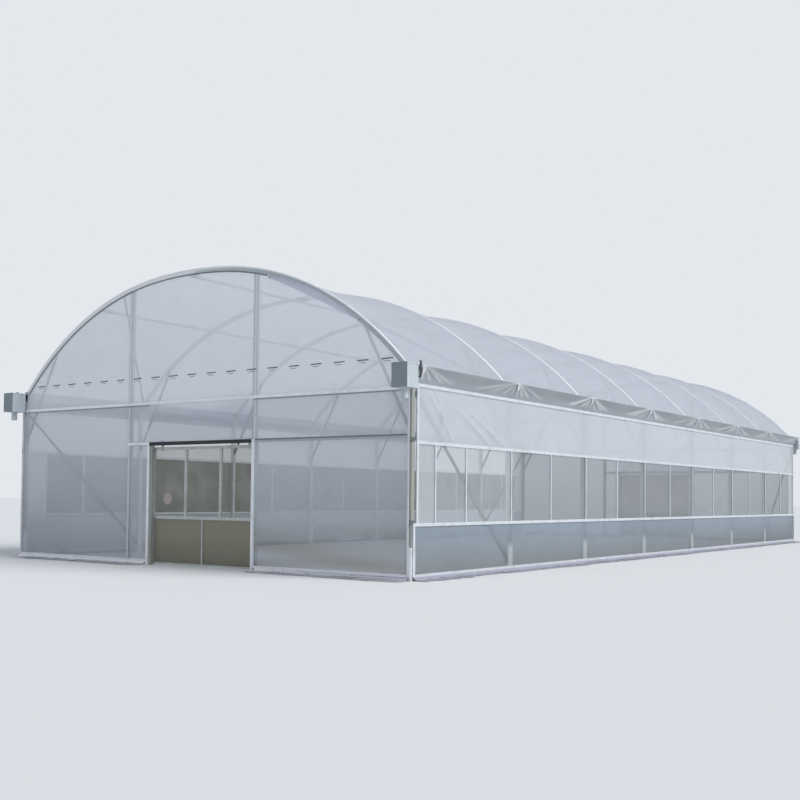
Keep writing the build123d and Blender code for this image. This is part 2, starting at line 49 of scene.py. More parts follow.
# The view. The tunnel is seen from off its front right corner, at chest height, with the
# lens and the framing worked out from the lines of its gable and its long wall.
eye = (13.795, -23.811, 1.245)
turn, tilt, roll = -0.6149, 0.0386, 0.0096
focal_px, centre_px = 1069.95, (394.04, 456.59)

forward = np.array([math.sin(turn) * math.cos(tilt), math.cos(turn) * math.cos(tilt), math.sin(tilt)])
level = np.array([math.cos(turn), -math.sin(turn), 0.0])
upright = np.cross(level, forward)
right = math.cos(roll) * level + math.sin(roll) * upright
above = -math.sin(roll) * level + math.cos(roll) * upright
camera_data = bpy.data.cameras.new("view")
camera = bpy.data.objects.new("view", camera_data)
scene.collection.objects.link(camera)
camera_axes = np.stack([right, above, -forward], 1)
camera.matrix_world = Matrix([[*row, eye[i]] for i, row in enumerate(camera_axes)] + [[0, 0, 0, 1]])
picture_px, sensor_mm = 800.0, 36.0
camera_data.sensor_width = sensor_mm
camera_data.lens = focal_px * sensor_mm / picture_px
camera_data.shift_x = (picture_px / 2 - centre_px[0]) / picture_px
camera_data.shift_y = (centre_px[1] - picture_px / 2) / picture_px
camera_data.clip_end = 500.0
scene.camera = camera


# The floor and the light: a studio floor in matt pale paint, 2 mm below the object's foot, a
# soft sky, and one broad lamp from the right and a little behind, so that the long wall is
# bright and the gable's metal is in shade.
def linear(hex_colour):
    """sRGB hex to linear RGBA: c/12.92 up to 0.04045, else ((c+0.055)/1.055)^2.4."""
    parts = [int(hex_colour[i:i + 2], 16) / 255 for i in (1, 3, 5)]
    return (*[c / 12.92 if c <= 0.04045 else ((c + 0.055) / 1.055) ** 2.4 for c in parts], 1.0)


def add(tree, kind, feeds=None, **settings):
    """Adds one node. feeds gives each input a value or the output that drives it."""
    made = tree.nodes.new(kind)
    for name, value in settings.items():
        setattr(made, name, value)
    for name, value in (feeds or {}).items():
        if isinstance(value, bpy.types.NodeSocket):
            tree.links.new(value, made.inputs[name])
        else:
            made.inputs[name].default_value = value
    return made


def new_material(name):
    """A material with an empty node tree, and its output node."""
    material = bpy.data.materials.new(name)
    material.use_nodes = True
    material.node_tree.nodes.clear()
    return material, material.node_tree, add(material.node_tree, "ShaderNodeOutputMaterial")


def surface(name, grids, smooth=True, paint=None):
    """One mesh from grids of points, each of shape (rows, columns, 3), with a quad between
    each four neighbours. Points that meet are joined. The row direction crossed with the
    column direction faces outwards. paint has a value for each point, kept as "paint"."""
    points, faces, start = [], [], 0
    for grid in grids:
        rows, columns = grid.shape[:2]
        index = np.arange(rows * columns).reshape(rows, columns) + start
        quads = np.stack([index[:-1, :-1], index[1:, :-1], index[1:, 1:], index[:-1, 1:]], -1)
        faces.append(quads.reshape(-1, 4))
        points.append(grid.reshape(-1, 3))
        start += rows * columns
    points, faces = np.concatenate(points), np.concatenate(faces)
    mesh = bpy.data.meshes.new(name)
    mesh.vertices.add(len(points))
    mesh.vertices.foreach_set("co", points.astype(np.float32).ravel())
    mesh.loops.add(faces.size)
    mesh.loops.foreach_set("vertex_index", faces.astype(np.int32).ravel())
    mesh.polygons.add(len(faces))
    mesh.polygons.foreach_set("loop_start", np.arange(0, faces.size, 4, dtype=np.int32))
    mesh.update(calc_edges=True)
    if paint is not None:
        values = np.concatenate([part.ravel() for part in paint]).astype(np.float32)
        mesh.attributes.new("paint", "FLOAT", "POINT").data.foreach_set("value", values)
    joined = bmesh.new()
    joined.from_mesh(mesh)
    bmesh.ops.remove_doubles(joined, verts=joined.verts, dist=2e-5)
    joined.to_mesh(mesh)
    joined.free()
    mesh.polygons.foreach_set("use_smooth", np.full(len(mesh.polygons), smooth))
    made = bpy.data.objects.new(name, mesh)
    scene.collection.objects.link(made)
    return made


floor_reach, floor_z = np.linspace(-300, 300, 3), -0.002
floor_x, floor_y = np.meshgrid(floor_reach, floor_reach, indexing="ij")
floor = surface("floor", [np.stack([floor_x, floor_y, np.full_like(floor_x, floor_z)], -1)])
floor_paint, tree, output = new_material("pale_floor_paint")
paint = add(tree, "ShaderNodeBsdfDiffuse", {"Color": linear("#E2E3E2")})
tree.links.new(paint.outputs[0], output.inputs["Surface"])
floor.data.materials.append(floor_paint)

sky = bpy.data.worlds.new("soft_sky")
sky.use_nodes = True
scene.world = sky
tree = sky.node_tree
tree.nodes.clear()
path = add(tree, "ShaderNodeLightPath")
seen = add(tree, "ShaderNodeMath", {0: path.outputs["Is Camera Ray"], 1: path.outputs["Is Glossy Ray"]},
           operation="MAXIMUM")
seen = add(tree, "ShaderNodeMath", {0: seen.outputs[0], 1: path.outputs["Is Transmission Ray"]},
           operation="MAXIMUM")
lit = add(tree, "ShaderNodeBackground", {"Color": linear("#E4EBF8"), "Strength": 0.60})
backdrop = add(tree, "ShaderNodeBackground", {"Color": linear("#E4E8ED"), "Strength": 1.0})
mix = add(tree, "ShaderNodeMixShader", {0: seen.outputs[0], 1: lit.outputs[0], 2: backdrop.outputs[0]})
tree.links.new(mix.outputs[0], add(tree, "ShaderNodeOutputWorld").inputs["Surface"])

lamp_data = bpy.data.lights.new("broad_lamp", "SUN")
lamp_data.energy = 2.3
lamp_data.angle = math.radians(35)
lamp = bpy.data.objects.new("broad_lamp", lamp_data)
lamp.rotation_euler = Vector((-0.76, -0.16, -0.63)).to_track_quat("-Z", "Y").to_euler()
scene.collection.objects.link(lamp)


# The posts, studs, rails, purlins and braces: square and flat steel tube, hot-dip galvanised
# and bolted together. The zinc has frozen in grey flakes about 26 mm wide, and has dulled
# unevenly outdoors. The braces take a much darker copy, partly duller zinc and partly painted
# shade, and on the gables' frames the pale zinc is painted darker, as painted shade.
def zinc_coat(name, low, high, dulled, ends=None):
    """Zinc with flakes between two tones, and uneven dull patches of a third, about 0.4 m
    wide. ends is a darker tone painted beyond 10.35 m along, on a gable's frame: painted shade."""
    material, tree, output = new_material(name)
    coords = add(tree, "ShaderNodeTexCoord").outputs["Object"]
    spangle = add(tree, "ShaderNodeTexVoronoi", {"Vector": coords, "Scale": 38.0})
    stain = add(tree, "ShaderNodeTexNoise", {"Vector": coords, "Scale": 2.3, "Detail": 6.0})
    tone = add(tree, "ShaderNodeSeparateColor", {0: spangle.outputs["Color"]})
    mix = add(tree, "ShaderNodeMix", {0: tone.outputs[0], 6: linear(low), 7: linear(high)},
              data_type="RGBA")
    dull = add(tree, "ShaderNodeMapRange", {0: stain.outputs[0], 1: 0.45, 2: 0.75, 3: 0.0, 4: 0.5})
    worn = add(tree, "ShaderNodeMix", {0: dull.outputs[0], 6: mix.outputs[2], 7: linear(dulled)},
               data_type="RGBA")
    # Beyond 10.35 m along, on the gables' frames, the tone is painted darker: painted shade.
    if ends:
        along = add(tree, "ShaderNodeSeparateXYZ", {0: coords}).outputs[1]
        along = add(tree, "ShaderNodeMath", {0: along}, operation="ABSOLUTE")
        outside = add(tree, "ShaderNodeMapRange",
                      {0: along.outputs[0], 1: 10.33, 2: 10.37, 3: 0.0, 4: 0.85})
        worn = add(tree, "ShaderNodeMix", {0: outside.outputs[0], 6: worn.outputs[2], 7: linear(ends)},
                   data_type="RGBA")
    rough = add(tree, "ShaderNodeMapRange", {0: stain.outputs[0], 3: 0.38, 4: 0.66})
    zinc = add(tree, "ShaderNodeBsdfPrincipled",
               {"Base Color": worn.outputs[2], "Metallic": 0.35, "Roughness": rough.outputs[0]})
    tree.links.new(zinc.outputs[0], output.inputs["Surface"])
    return material


galvanised = zinc_coat("galvanised_steel", "#AEB3B0", "#C6CAC8", "#9B9D92")
pale_zinc = zinc_coat("pale_galvanised_steel", "#CED2D3", "#DFE3E4", "#BDC0BA", ends="#94978D")
# A much darker copy for the braces and plates: partly duller zinc, partly painted shade.
dull_shaded_zinc = zinc_coat("dull_galvanised_steel_painted_shade", "#5A6064", "#6E7478", "#555855")


def finish(material, *names):
    """Gives CAD nodes a material in place of their plain one."""
    for name in names:
        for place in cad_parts[name].material_slots:
            place.material = material


finish(pale_zinc, "posts", "front_studs", "back_studs", "purlins")
finish(galvanised, "front_rails", "back_rails")
finish(dull_shaded_zinc, "knee_braces", "wind_braces", "roof_braces")
post_x, gable_y, post_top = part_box("posts")[1]
post_size, stub_size = 0.080, 0.100
bay = 3.0
frame_lines = bay * (np.arange(8) - 3.5)

# The hoops: two bows of galvanised tube on each frame, joined in a sleeve at the crown and
# bolted to feet above the gutters. Each is bent to a wide circle at the crown and a tighter
# one at the haunch, and the film, the strips and the bolts all follow that line.
finish(pale_zinc, "right_bows", "left_bows")
finish(galvanised, "crown_sleeves", "gutter_saddles", "bow_feet")
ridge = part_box("roof_film")[1][2]
arch_foot = (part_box("bow_feet")[1][0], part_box("bow_feet")[1][2])
crown_radius, crown_angle = 8.690, math.radians(5.73)
crown_way = (math.sin(crown_angle), math.cos(crown_angle))
crown_end = (crown_radius * crown_way[0], ridge - crown_radius * (1 - crown_way[1]))
run, fall = arch_foot[0] - crown_end[0], arch_foot[1] - crown_end[1]
haunch_radius = -(run**2 + fall**2) / (2 * (run * crown_way[0] + fall * crown_way[1]))
haunch = (crown_end[0] - haunch_radius * crown_way[0], crown_end[1] - haunch_radius * crown_way[1])
foot_angle = math.acos((arch_foot[1] - haunch[1]) / haunch_radius)
under_film, bow_inner = 0.0043, 0.0643


def arch(angle, inset):
    """x and z of the arch at an angle from the vertical, inset along its own radius, as it is
    for the underside of the film or the inner side of the bows: a wide circle within the crown
    angle, and a tighter circle that runs on tangent to it outside."""
    side = np.sign(angle)
    wide = np.abs(angle) <= crown_angle
    radius = np.where(wide, crown_radius, haunch_radius) - inset
    x = np.where(wide, 0.0, side * haunch[0]) + radius * np.sin(angle)
    z = np.where(wide, ridge - crown_radius, haunch[1]) + radius * np.cos(angle)
    return x, z


def arch_angle(x, inset):
    """Angle at which the inset arch stands over each x."""
    flat = np.arcsin(np.clip(x / (crown_radius - inset), -1, 1))
    steep = np.sign(x) * np.arcsin(np.clip((np.abs(x) - haunch[0]) / (haunch_radius - inset), -1, 1))
    return np.where(np.abs(flat) <= crown_angle, flat, steep)


# The bolts of the frame: hexagon heads with washers, two at each end of the knee braces, on
# the hoops' feet and where the posts stand in their ground stubs. They are electroplated,
# and that zinc is thin and bright. Its grain is drawn 11 mm wide, so that it shows.
def hex_heads(name, places, outward, size):
    """Bolt heads: rings of six points, of radius r at height h (in head sizes: a washer, then
    the head, then its closed top), turned about each bolt's own outward direction."""
    places = np.asarray(places, float).reshape(-1, 3)
    outward = np.broadcast_to(np.asarray(outward, float), places.shape)
    helper = np.where(np.abs(outward[:, 2:3]) > 0.9, [[1.0, 0, 0]], [[0, 0, 1.0]])
    side = np.cross(outward, helper)
    side /= np.linalg.norm(side, axis=1, keepdims=True)
    other = np.cross(outward, side)
    rings = size * np.array([(1.6, 0.0), (1.6, 0.22), (1.0, 0.22), (1.0, 1.0), (0.0, 1.0)])
    turn_by = np.linspace(2 * math.pi, 0, 7)
    spoke = (np.cos(turn_by)[None, :, None] * side[:, None]
             + np.sin(turn_by)[None, :, None] * other[:, None])
    grids = (places[:, None, None] + rings[None, :, 0, None, None] * spoke[:, None]
             + rings[None, :, 1, None, None] * outward[:, None, None])
    return surface(name, list(grids), smooth=False)


def dress(piece, material, body="building"):
    """Gives a new piece its material and the body that carries it."""
    piece.data.materials.append(material)
    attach(piece, body)
    return piece


bright_zinc, tree, output = new_material("bright_zinc_plating")
coords = add(tree, "ShaderNodeTexCoord").outputs["Object"]
grain = add(tree, "ShaderNodeTexNoise", {"Vector": coords, "Scale": 90.0})
rough = add(tree, "ShaderNodeMapRange", {0: grain.outputs[0], 3: 0.28, 4: 0.5})
zinc = add(tree, "ShaderNodeBsdfPrincipled",
           {"Base Color": linear("#A9ACAA"), "Metallic": 0.9, "Roughness": rough.outputs[0]})
tree.links.new(zinc.outputs[0], output.inputs["Surface"])

knee_drop, knee_reach, knee_depth, knee_end = 0.820, 0.880, 0.030, 10.4997
knee_low = np.array([post_x - post_size, post_top - knee_drop])
knee_high = np.array(arch(arch_angle(knee_low[0] - knee_reach, bow_inner), bow_inner))
knee_way = (knee_high - knee_low) / np.linalg.norm(knee_high - knee_low)
knee_spots = [knee_low + step * knee_way for step in (0.06, 0.14)]
knee_spots += [knee_high - step * knee_way for step in (0.06, 0.14)]
foot_width, foot_depth, saddle = 0.060, 0.095, 0.008
stub_y = np.clip(frame_lines, stub_size / 2 - gable_y, gable_y - stub_size / 2)
foot_y = np.clip(frame_lines, foot_width / 2 - gable_y, gable_y - foot_width / 2)
knee_y = np.clip(frame_lines, knee_depth / 2 - knee_end, knee_end - knee_depth / 2)
places, outward = [], []
for knee, stub, foot in zip(knee_y, stub_y, foot_y):
    for side in (1, -1):
        for x, z in knee_spots:
            places += [(side * x, knee - knee_depth / 2, z), (side * x, knee + knee_depth / 2, z)]
            outward += [(0, -1, 0), (0, 1, 0)]
        for z in (0.12, 0.40):
            places.append((side * (post_x - stub_size), stub, z))
            outward.append((-side, 0, 0))
        for z in (0.045, 0.130):
            places.append((side * (arch_foot[0] - foot_depth), foot, post_top + saddle + z))
            outward.append((-side, 0, 0))
dress(hex_heads("frame_bolts", places, outward, 0.010), bright_zinc)

# The rain gutters and the boxes at their ends: folded galvanised sheet, duller and bluer than
# tube and with flakes of 17 mm, with darker runs 40 mm wide where rain has come down it.
# The boxes' end faces are painted darkest, as painted shade. Each box has a lid folded down
# over its rim, and a collar round its outlet.
zinc_sheet, tree, output = new_material("galvanised_sheet")
coords = add(tree, "ShaderNodeTexCoord").outputs["Object"]
spangle = add(tree, "ShaderNodeTexVoronoi", {"Vector": coords, "Scale": 60.0})
stain = add(tree, "ShaderNodeTexNoise", {"Vector": coords, "Scale": 4.0, "Detail": 7.0, "Roughness": 0.6})
tone = add(tree, "ShaderNodeSeparateColor", {0: spangle.outputs["Color"]})
mix = add(tree, "ShaderNodeMix", {0: tone.outputs[0], 6: linear("#B4BEC4"), 7: linear("#C2CBD0")},
          data_type="RGBA")
drops = add(tree, "ShaderNodeMapping", {0: coords, 3: (9.0, 9.0, 0.8)})
runs = add(tree, "ShaderNodeTexNoise", {"Vector": drops.outputs[0], "Scale": 3.0, "Detail": 4.0})
wet = add(tree, "ShaderNodeMapRange", {0: runs.outputs[0], 1: 0.5, 2: 0.75, 3: 0.0, 4: 0.55})
worn = add(tree, "ShaderNodeMix", {0: wet.outputs[0], 6: mix.outputs[2], 7: linear("#98A3A8")},
           data_type="RGBA")
box_low, box_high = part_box("gutter_end_boxes")
# The outer end face of each box is painted dark: painted shade.
ends = add(tree, "ShaderNodeSeparateXYZ", {0: coords}).outputs[1]
ends = add(tree, "ShaderNodeMath", {0: ends}, operation="ABSOLUTE")
shade = add(tree, "ShaderNodeMapRange", {0: ends.outputs[0], 1: box_high[1] - 0.004, 2: box_high[1],
                                         3: 0.0, 4: 0.9})
worn = add(tree, "ShaderNodeMix", {0: shade.outputs[0], 6: worn.outputs[2], 7: linear("#7B868C")},
           data_type="RGBA")
rough = add(tree, "ShaderNodeMapRange", {0: stain.outputs[0], 3: 0.55, 4: 0.8})
zinc = add(tree, "ShaderNodeBsdfPrincipled",
           {"Base Color": worn.outputs[2], "Metallic": 0.1, "Roughness": rough.outputs[0]})
tree.links.new(zinc.outputs[0], output.inputs["Surface"])
finish(zinc_sheet, "right_gutter", "left_gutter", "gutter_end_boxes")

box_half_x, box_half_y, outlet_length = 0.143, 0.150, 0.160
box_x, box_y = box_high[0] - box_half_x, box_high[1] - box_half_y
box_top, box_floor = box_high[2], box_low[2] + outlet_length


def rounded(half_x, half_y, corner, count=40):
    """Outline of a rectangle with round corners: |x/a|^n + |y/b|^n = 1, with n set by the
    corner, so that a small corner gives a high n."""
    angle = np.linspace(0, 2 * math.pi, count + 1) + math.pi / 4
    power = 2 / max(2.0, min(half_x, half_y) / corner)
    x = np.sign(np.cos(angle)) * np.abs(np.cos(angle)) ** power * half_x
    y = np.sign(np.sin(angle)) * np.abs(np.sin(angle)) ** power * half_y
    return x, y


def stacked(centre, rings):
    """A closed skin from rounded rectangles (half x, half y, corner, z), one above another
    from the bottom up, about a centre."""
    rows = []
    for half_x, half_y, corner, z in rings:
        x, y = rounded(half_x, half_y, corner)
        rows.append(np.stack([centre[0] + x, centre[1] + y, np.full_like(x, z)], -1))
    return np.stack(rows)[::-1]


# Out from the box's wall and up from its rim, for the lid; radius and height from the box's
# floor, for the flange that holds the outlet and for the ring at its lower end.
lid_fold, lid_skin = 0.004, 0.0032
lid = [(0.0005, -0.026), (lid_fold, -0.026), (lid_fold, -0.002), (0.002, 0.0012), (-0.07, 0.003)]
flange = [(0.0553, -0.022), (0.0620, -0.020), (0.0660, -0.006), (0.0800, -0.004), (0.0800, -0.0005)]
end_ring = [(0.0530, -0.160), (0.0585, -0.160), (0.0585, -0.150), (0.0551, -0.148)]
lid_x, lid_y, screw_z = box_half_x + lid_fold, box_half_y + lid_fold, box_top - 0.014
lids, collars, places, outward = [], [], [], []
for side, end in ((1, 1), (1, -1), (-1, 1), (-1, -1)):
    centre = (side * box_x, end * box_y)
    rings = [(box_half_x + grow, box_half_y + grow, 0.004, box_top + z) for grow, z in lid]
    lids.append(stacked(centre, rings + [(0.0, 0.0, 0.004, box_top + lid_skin)]))
    for rings in (flange, end_ring):
        collars.append(stacked(centre, [(radius, radius, 0.06, box_floor + z) for radius, z in rings]))
    for step in (-0.09, 0.0, 0.09):
        places += [(centre[0] + step, end * (box_y + lid_y), screw_z),
                   (centre[0] + side * lid_x, centre[1] + step, screw_z),
                   (centre[0] - side * lid_x, centre[1] + step, screw_z)]
        outward += [(0, end, 0), (side, 0, 0), (-side, 0, 0)]
dress(surface("gutter_box_lids", lids, smooth=False), zinc_sheet)
dress(surface("gutter_box_collars", collars), zinc_sheet)
dress(hex_heads("gutter_box_screws", places, outward, 0.005), bright_zinc)


# The clamping profiles: aluminium channels, coated white, that hold the film by its edge
# with a spring wire. They run round every panel and are the brightest lines on the building.
# Those of the long walls and the gutters' tabs take a darker copy of the coating, painted
# shade against the sun on them. The ground stubs and the girts behind the window rails have
# the same white coating.
def coated(name, clean, soiled):
    """Baked white coating, half glossy, with patches of grime about 0.2 m wide that dull it."""
    material, tree, output = new_material(name)
    coords = add(tree, "ShaderNodeTexCoord").outputs["Object"]
    grime = add(tree, "ShaderNodeTexNoise", {"Vector": coords, "Scale": 5.0, "Detail": 6.0})
    share = add(tree, "ShaderNodeMapRange", {0: grime.outputs[0], 1: 0.45, 2: 0.8, 3: 0.0, 4: 0.6})
    tone = add(tree, "ShaderNodeMix", {0: share.outputs[0], 6: linear(clean), 7: linear(soiled)},
               data_type="RGBA")
    rough = add(tree, "ShaderNodeMapRange", {0: grime.outputs[0], 3: 0.35, 4: 0.6})
    coat = add(tree, "ShaderNodeBsdfPrincipled",
               {"Base Color": tone.outputs[2], "Roughness": rough.outputs[0]})
    tree.links.new(coat.outputs[0], output.inputs["Surface"])
    return material


# A darker copy for the sunlit long walls and tabs: painted shade.
profile = coated("coated_aluminium_painted_shade", "#D0D4D9", "#A9AEAE")
gable_profile = coated("white_coated_aluminium", "#F1F3F7", "#C4C9C9")
finish(profile, "corner_strips", "side_top_rails", "side_bottom_rails",
       "right_window_frame", "left_window_frame")
finish(gable_profile, "arch_strips", "front_strips", "back_strips", "ground_stubs", "wall_girts")


# Black rubber, moulded, matt, and greyed by bloom in patches of 80 mm: a sleeve under each
# gutter between its box and the gable, and a lip seal that hangs from the head of each doorway
# down to the leaf. These black pieces are painted shade, put where the gutter's end and the
# gap above each leaf lie in shadow. The sleeves at the back are of coated sheet instead.
def turned(grid, x=1, y=1):
    """The grid across the middle plane of X or Y, with its faces still outwards."""
    grid = grid * np.array([x, y, 1.0])
    return grid if x * y > 0 else grid[::-1]


# Black pieces that stand as painted shade at the gutters' ends and above the leaves.
shade_rubber, tree, output = new_material("black_rubber_painted_shade")
coords = add(tree, "ShaderNodeTexCoord").outputs["Object"]
bloom = add(tree, "ShaderNodeTexNoise", {"Vector": coords, "Scale": 12.0, "Detail": 5.0})
tone = add(tree, "ShaderNodeMix", {0: bloom.outputs[0], 6: linear("#26292A"), 7: linear("#3A3D3D")},
           data_type="RGBA")
skin = add(tree, "ShaderNodeBsdfPrincipled", {"Base Color": tone.outputs[2], "Roughness": 0.75})
tree.links.new(skin.outputs[0], output.inputs["Surface"])
gutter_low, gutter_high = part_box("right_gutter")
gutter_right, gutter_left = gutter_high[0], gutter_low[0]
gutter_rim, gutter_floor = gutter_high[2], gutter_low[2]
outline = np.array([(gutter_right - 0.012, gutter_rim + 0.004), (gutter_right + 0.009, gutter_rim + 0.004),
                    (gutter_right + 0.009, gutter_rim - 0.060), (gutter_right + 0.002, gutter_rim - 0.235),
                    (gutter_right - 0.030, gutter_rim - 0.250), (gutter_right - 0.080, gutter_floor - 0.008),
                    (gutter_left + 0.026, gutter_floor - 0.008), (gutter_left - 0.006, gutter_floor + 0.110)])
sleeve_y = np.array([box_y - box_half_y - 0.001, gable_y + 0.001])
depth, index = np.meshgrid(sleeve_y, np.arange(len(outline)), indexing="ij")
sleeve = np.stack([outline[index, 0], -depth, outline[index, 1]], -1)
for word, end in (("front", 1), ("back", -1)):
    cover = surface(f"{word}_gutter_sleeves", [turned(sleeve, side, end) for side in (1, -1)], smooth=False)
    thick = cover.modifiers.new("thickness", "SOLIDIFY")
    thick.thickness, thick.offset = 0.005, 0.0
    dress(cover, shade_rubber if end > 0 else gable_profile)
doorway = (-1.015, 1.540)
seal_x = np.linspace(doorway[0] + 0.030, doorway[1] - 0.028, 60)
seal_z = np.array([2.2080, 2.2080, 2.1500, 2.1440, 2.1500, 2.2080])
seal_out = np.array([0.0320, 0.0290, 0.0290, 0.0275, 0.0260, 0.0260])
row, column = np.meshgrid(np.arange(len(seal_x)), np.arange(len(seal_z)), indexing="ij")
lip = np.stack([seal_x[row], -(gable_y + seal_out[column]), seal_z[column]], -1)
dress(surface("door_head_shade_seals", [turned(lip, y=end) for end in (1, -1)]), shade_rubber)

# A short length of the white profile runs on from each doorway's head strip to the stud on
# its left. It is a box 12 mm deep and 50 mm high, closed at both ends.
strip_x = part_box("side_top_rails")[1][0]
strip_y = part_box("front_strips")[0][1]
head_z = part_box("front_gable_film")[0][2]
strip_start, strip_stop, film_lap = -1.565, -1.042, 0.008
around = np.array([(-1, -1), (-1, 1), (1, 1), (1, -1), (-1, -1)])
x = np.array([strip_start, strip_start, strip_stop, strip_stop])[:, None]
size = np.array([0, 1, 1, 0])[:, None]
length = np.stack([x + 0 * around[:, 0],
                   (strip_y - gable_y - film_lap) / 2 + 0.006 * size * around[:, 0],
                   head_z + 0.025 * size * around[:, 1]], -1)
dress(surface("head_strip_ends", [turned(length, y=end) for end in (1, -1)], smooth=False),
      gable_profile)

# Self-drilling screws with hexagon heads, zinc plated like the bolts, hold the profiles to the
# steel. There is one every 0.75 m.
sill, window_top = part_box("right_window_mesh")[0][2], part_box("right_window_mesh")[1][2]
rail_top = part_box("right_upper_film")[1][2]
eaves_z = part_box("front_wall_films")[1][2]
bottom_z, screw_pitch = 0.075, 0.75
places, outward = [], []
for y in screw_pitch * np.arange(-13.5, 14):
    for z in (bottom_z, sill, window_top, rail_top):
        places += [(strip_x, y, z), (-strip_x, y, z)]
        outward += [(1, 0, 0), (-1, 0, 0)]
for x in screw_pitch * np.arange(-6, 7):
    for end in (1, -1):
        places.append((x, end * strip_y, eaves_z))
        outward.append((0, -end, 0))
        if not doorway[0] < x < doorway[1]:
            places.append((x, end * strip_y, bottom_z))
            outward.append((0, -end, 0))
dress(hex_heads("strip_screws", places, outward, 0.0045), bright_zinc)

# A bent plate of 3 mm galvanised steel, held by three bolts, joins the sill and the head rail
# to each corner post. Its path is given out from the post's side and back from the gable.
plate_thick, plate_half, bolt_step = 0.003, 0.034, 0.020
bent = np.array([(-0.0285, 0.0), (-0.0020, 0.0), (plate_thick, 0.0050), (plate_thick, 0.088)])
column, row = np.meshgrid(np.arange(len(bent)), np.array([-plate_half, plate_half]))
plates, places, outward = [], [], []
for z in (sill + 0.030, window_top + 0.035):
    grid = np.stack([post_x + bent[column, 0], -(gable_y + plate_thick) + bent[column, 1], z + row],
                    -1)[::-1]
    for side in (1, -1):
        for end in (1, -1):
            plates.append(turned(grid, side, end))
            for step in (-bolt_step, bolt_step):
                places.append((side * (post_x + 1.5 * plate_thick), -end * (gable_y - 0.045), z + step))
                outward.append((side, 0, 0))
            places.append((side * (post_x - 0.013), -end * (gable_y + 1.5 * plate_thick), z))
            outward.append((0, -end, 0))
corner_plates = surface("corner_plates", plates, smooth=False)
thick = corner_plates.modifiers.new("thickness", "SOLIDIFY")
thick.thickness, thick.offset = plate_thick, 0.0
dress(corner_plates, dull_shaded_zinc)
dress(hex_heads("corner_bolts", places, outward, 0.009), bright_zinc)


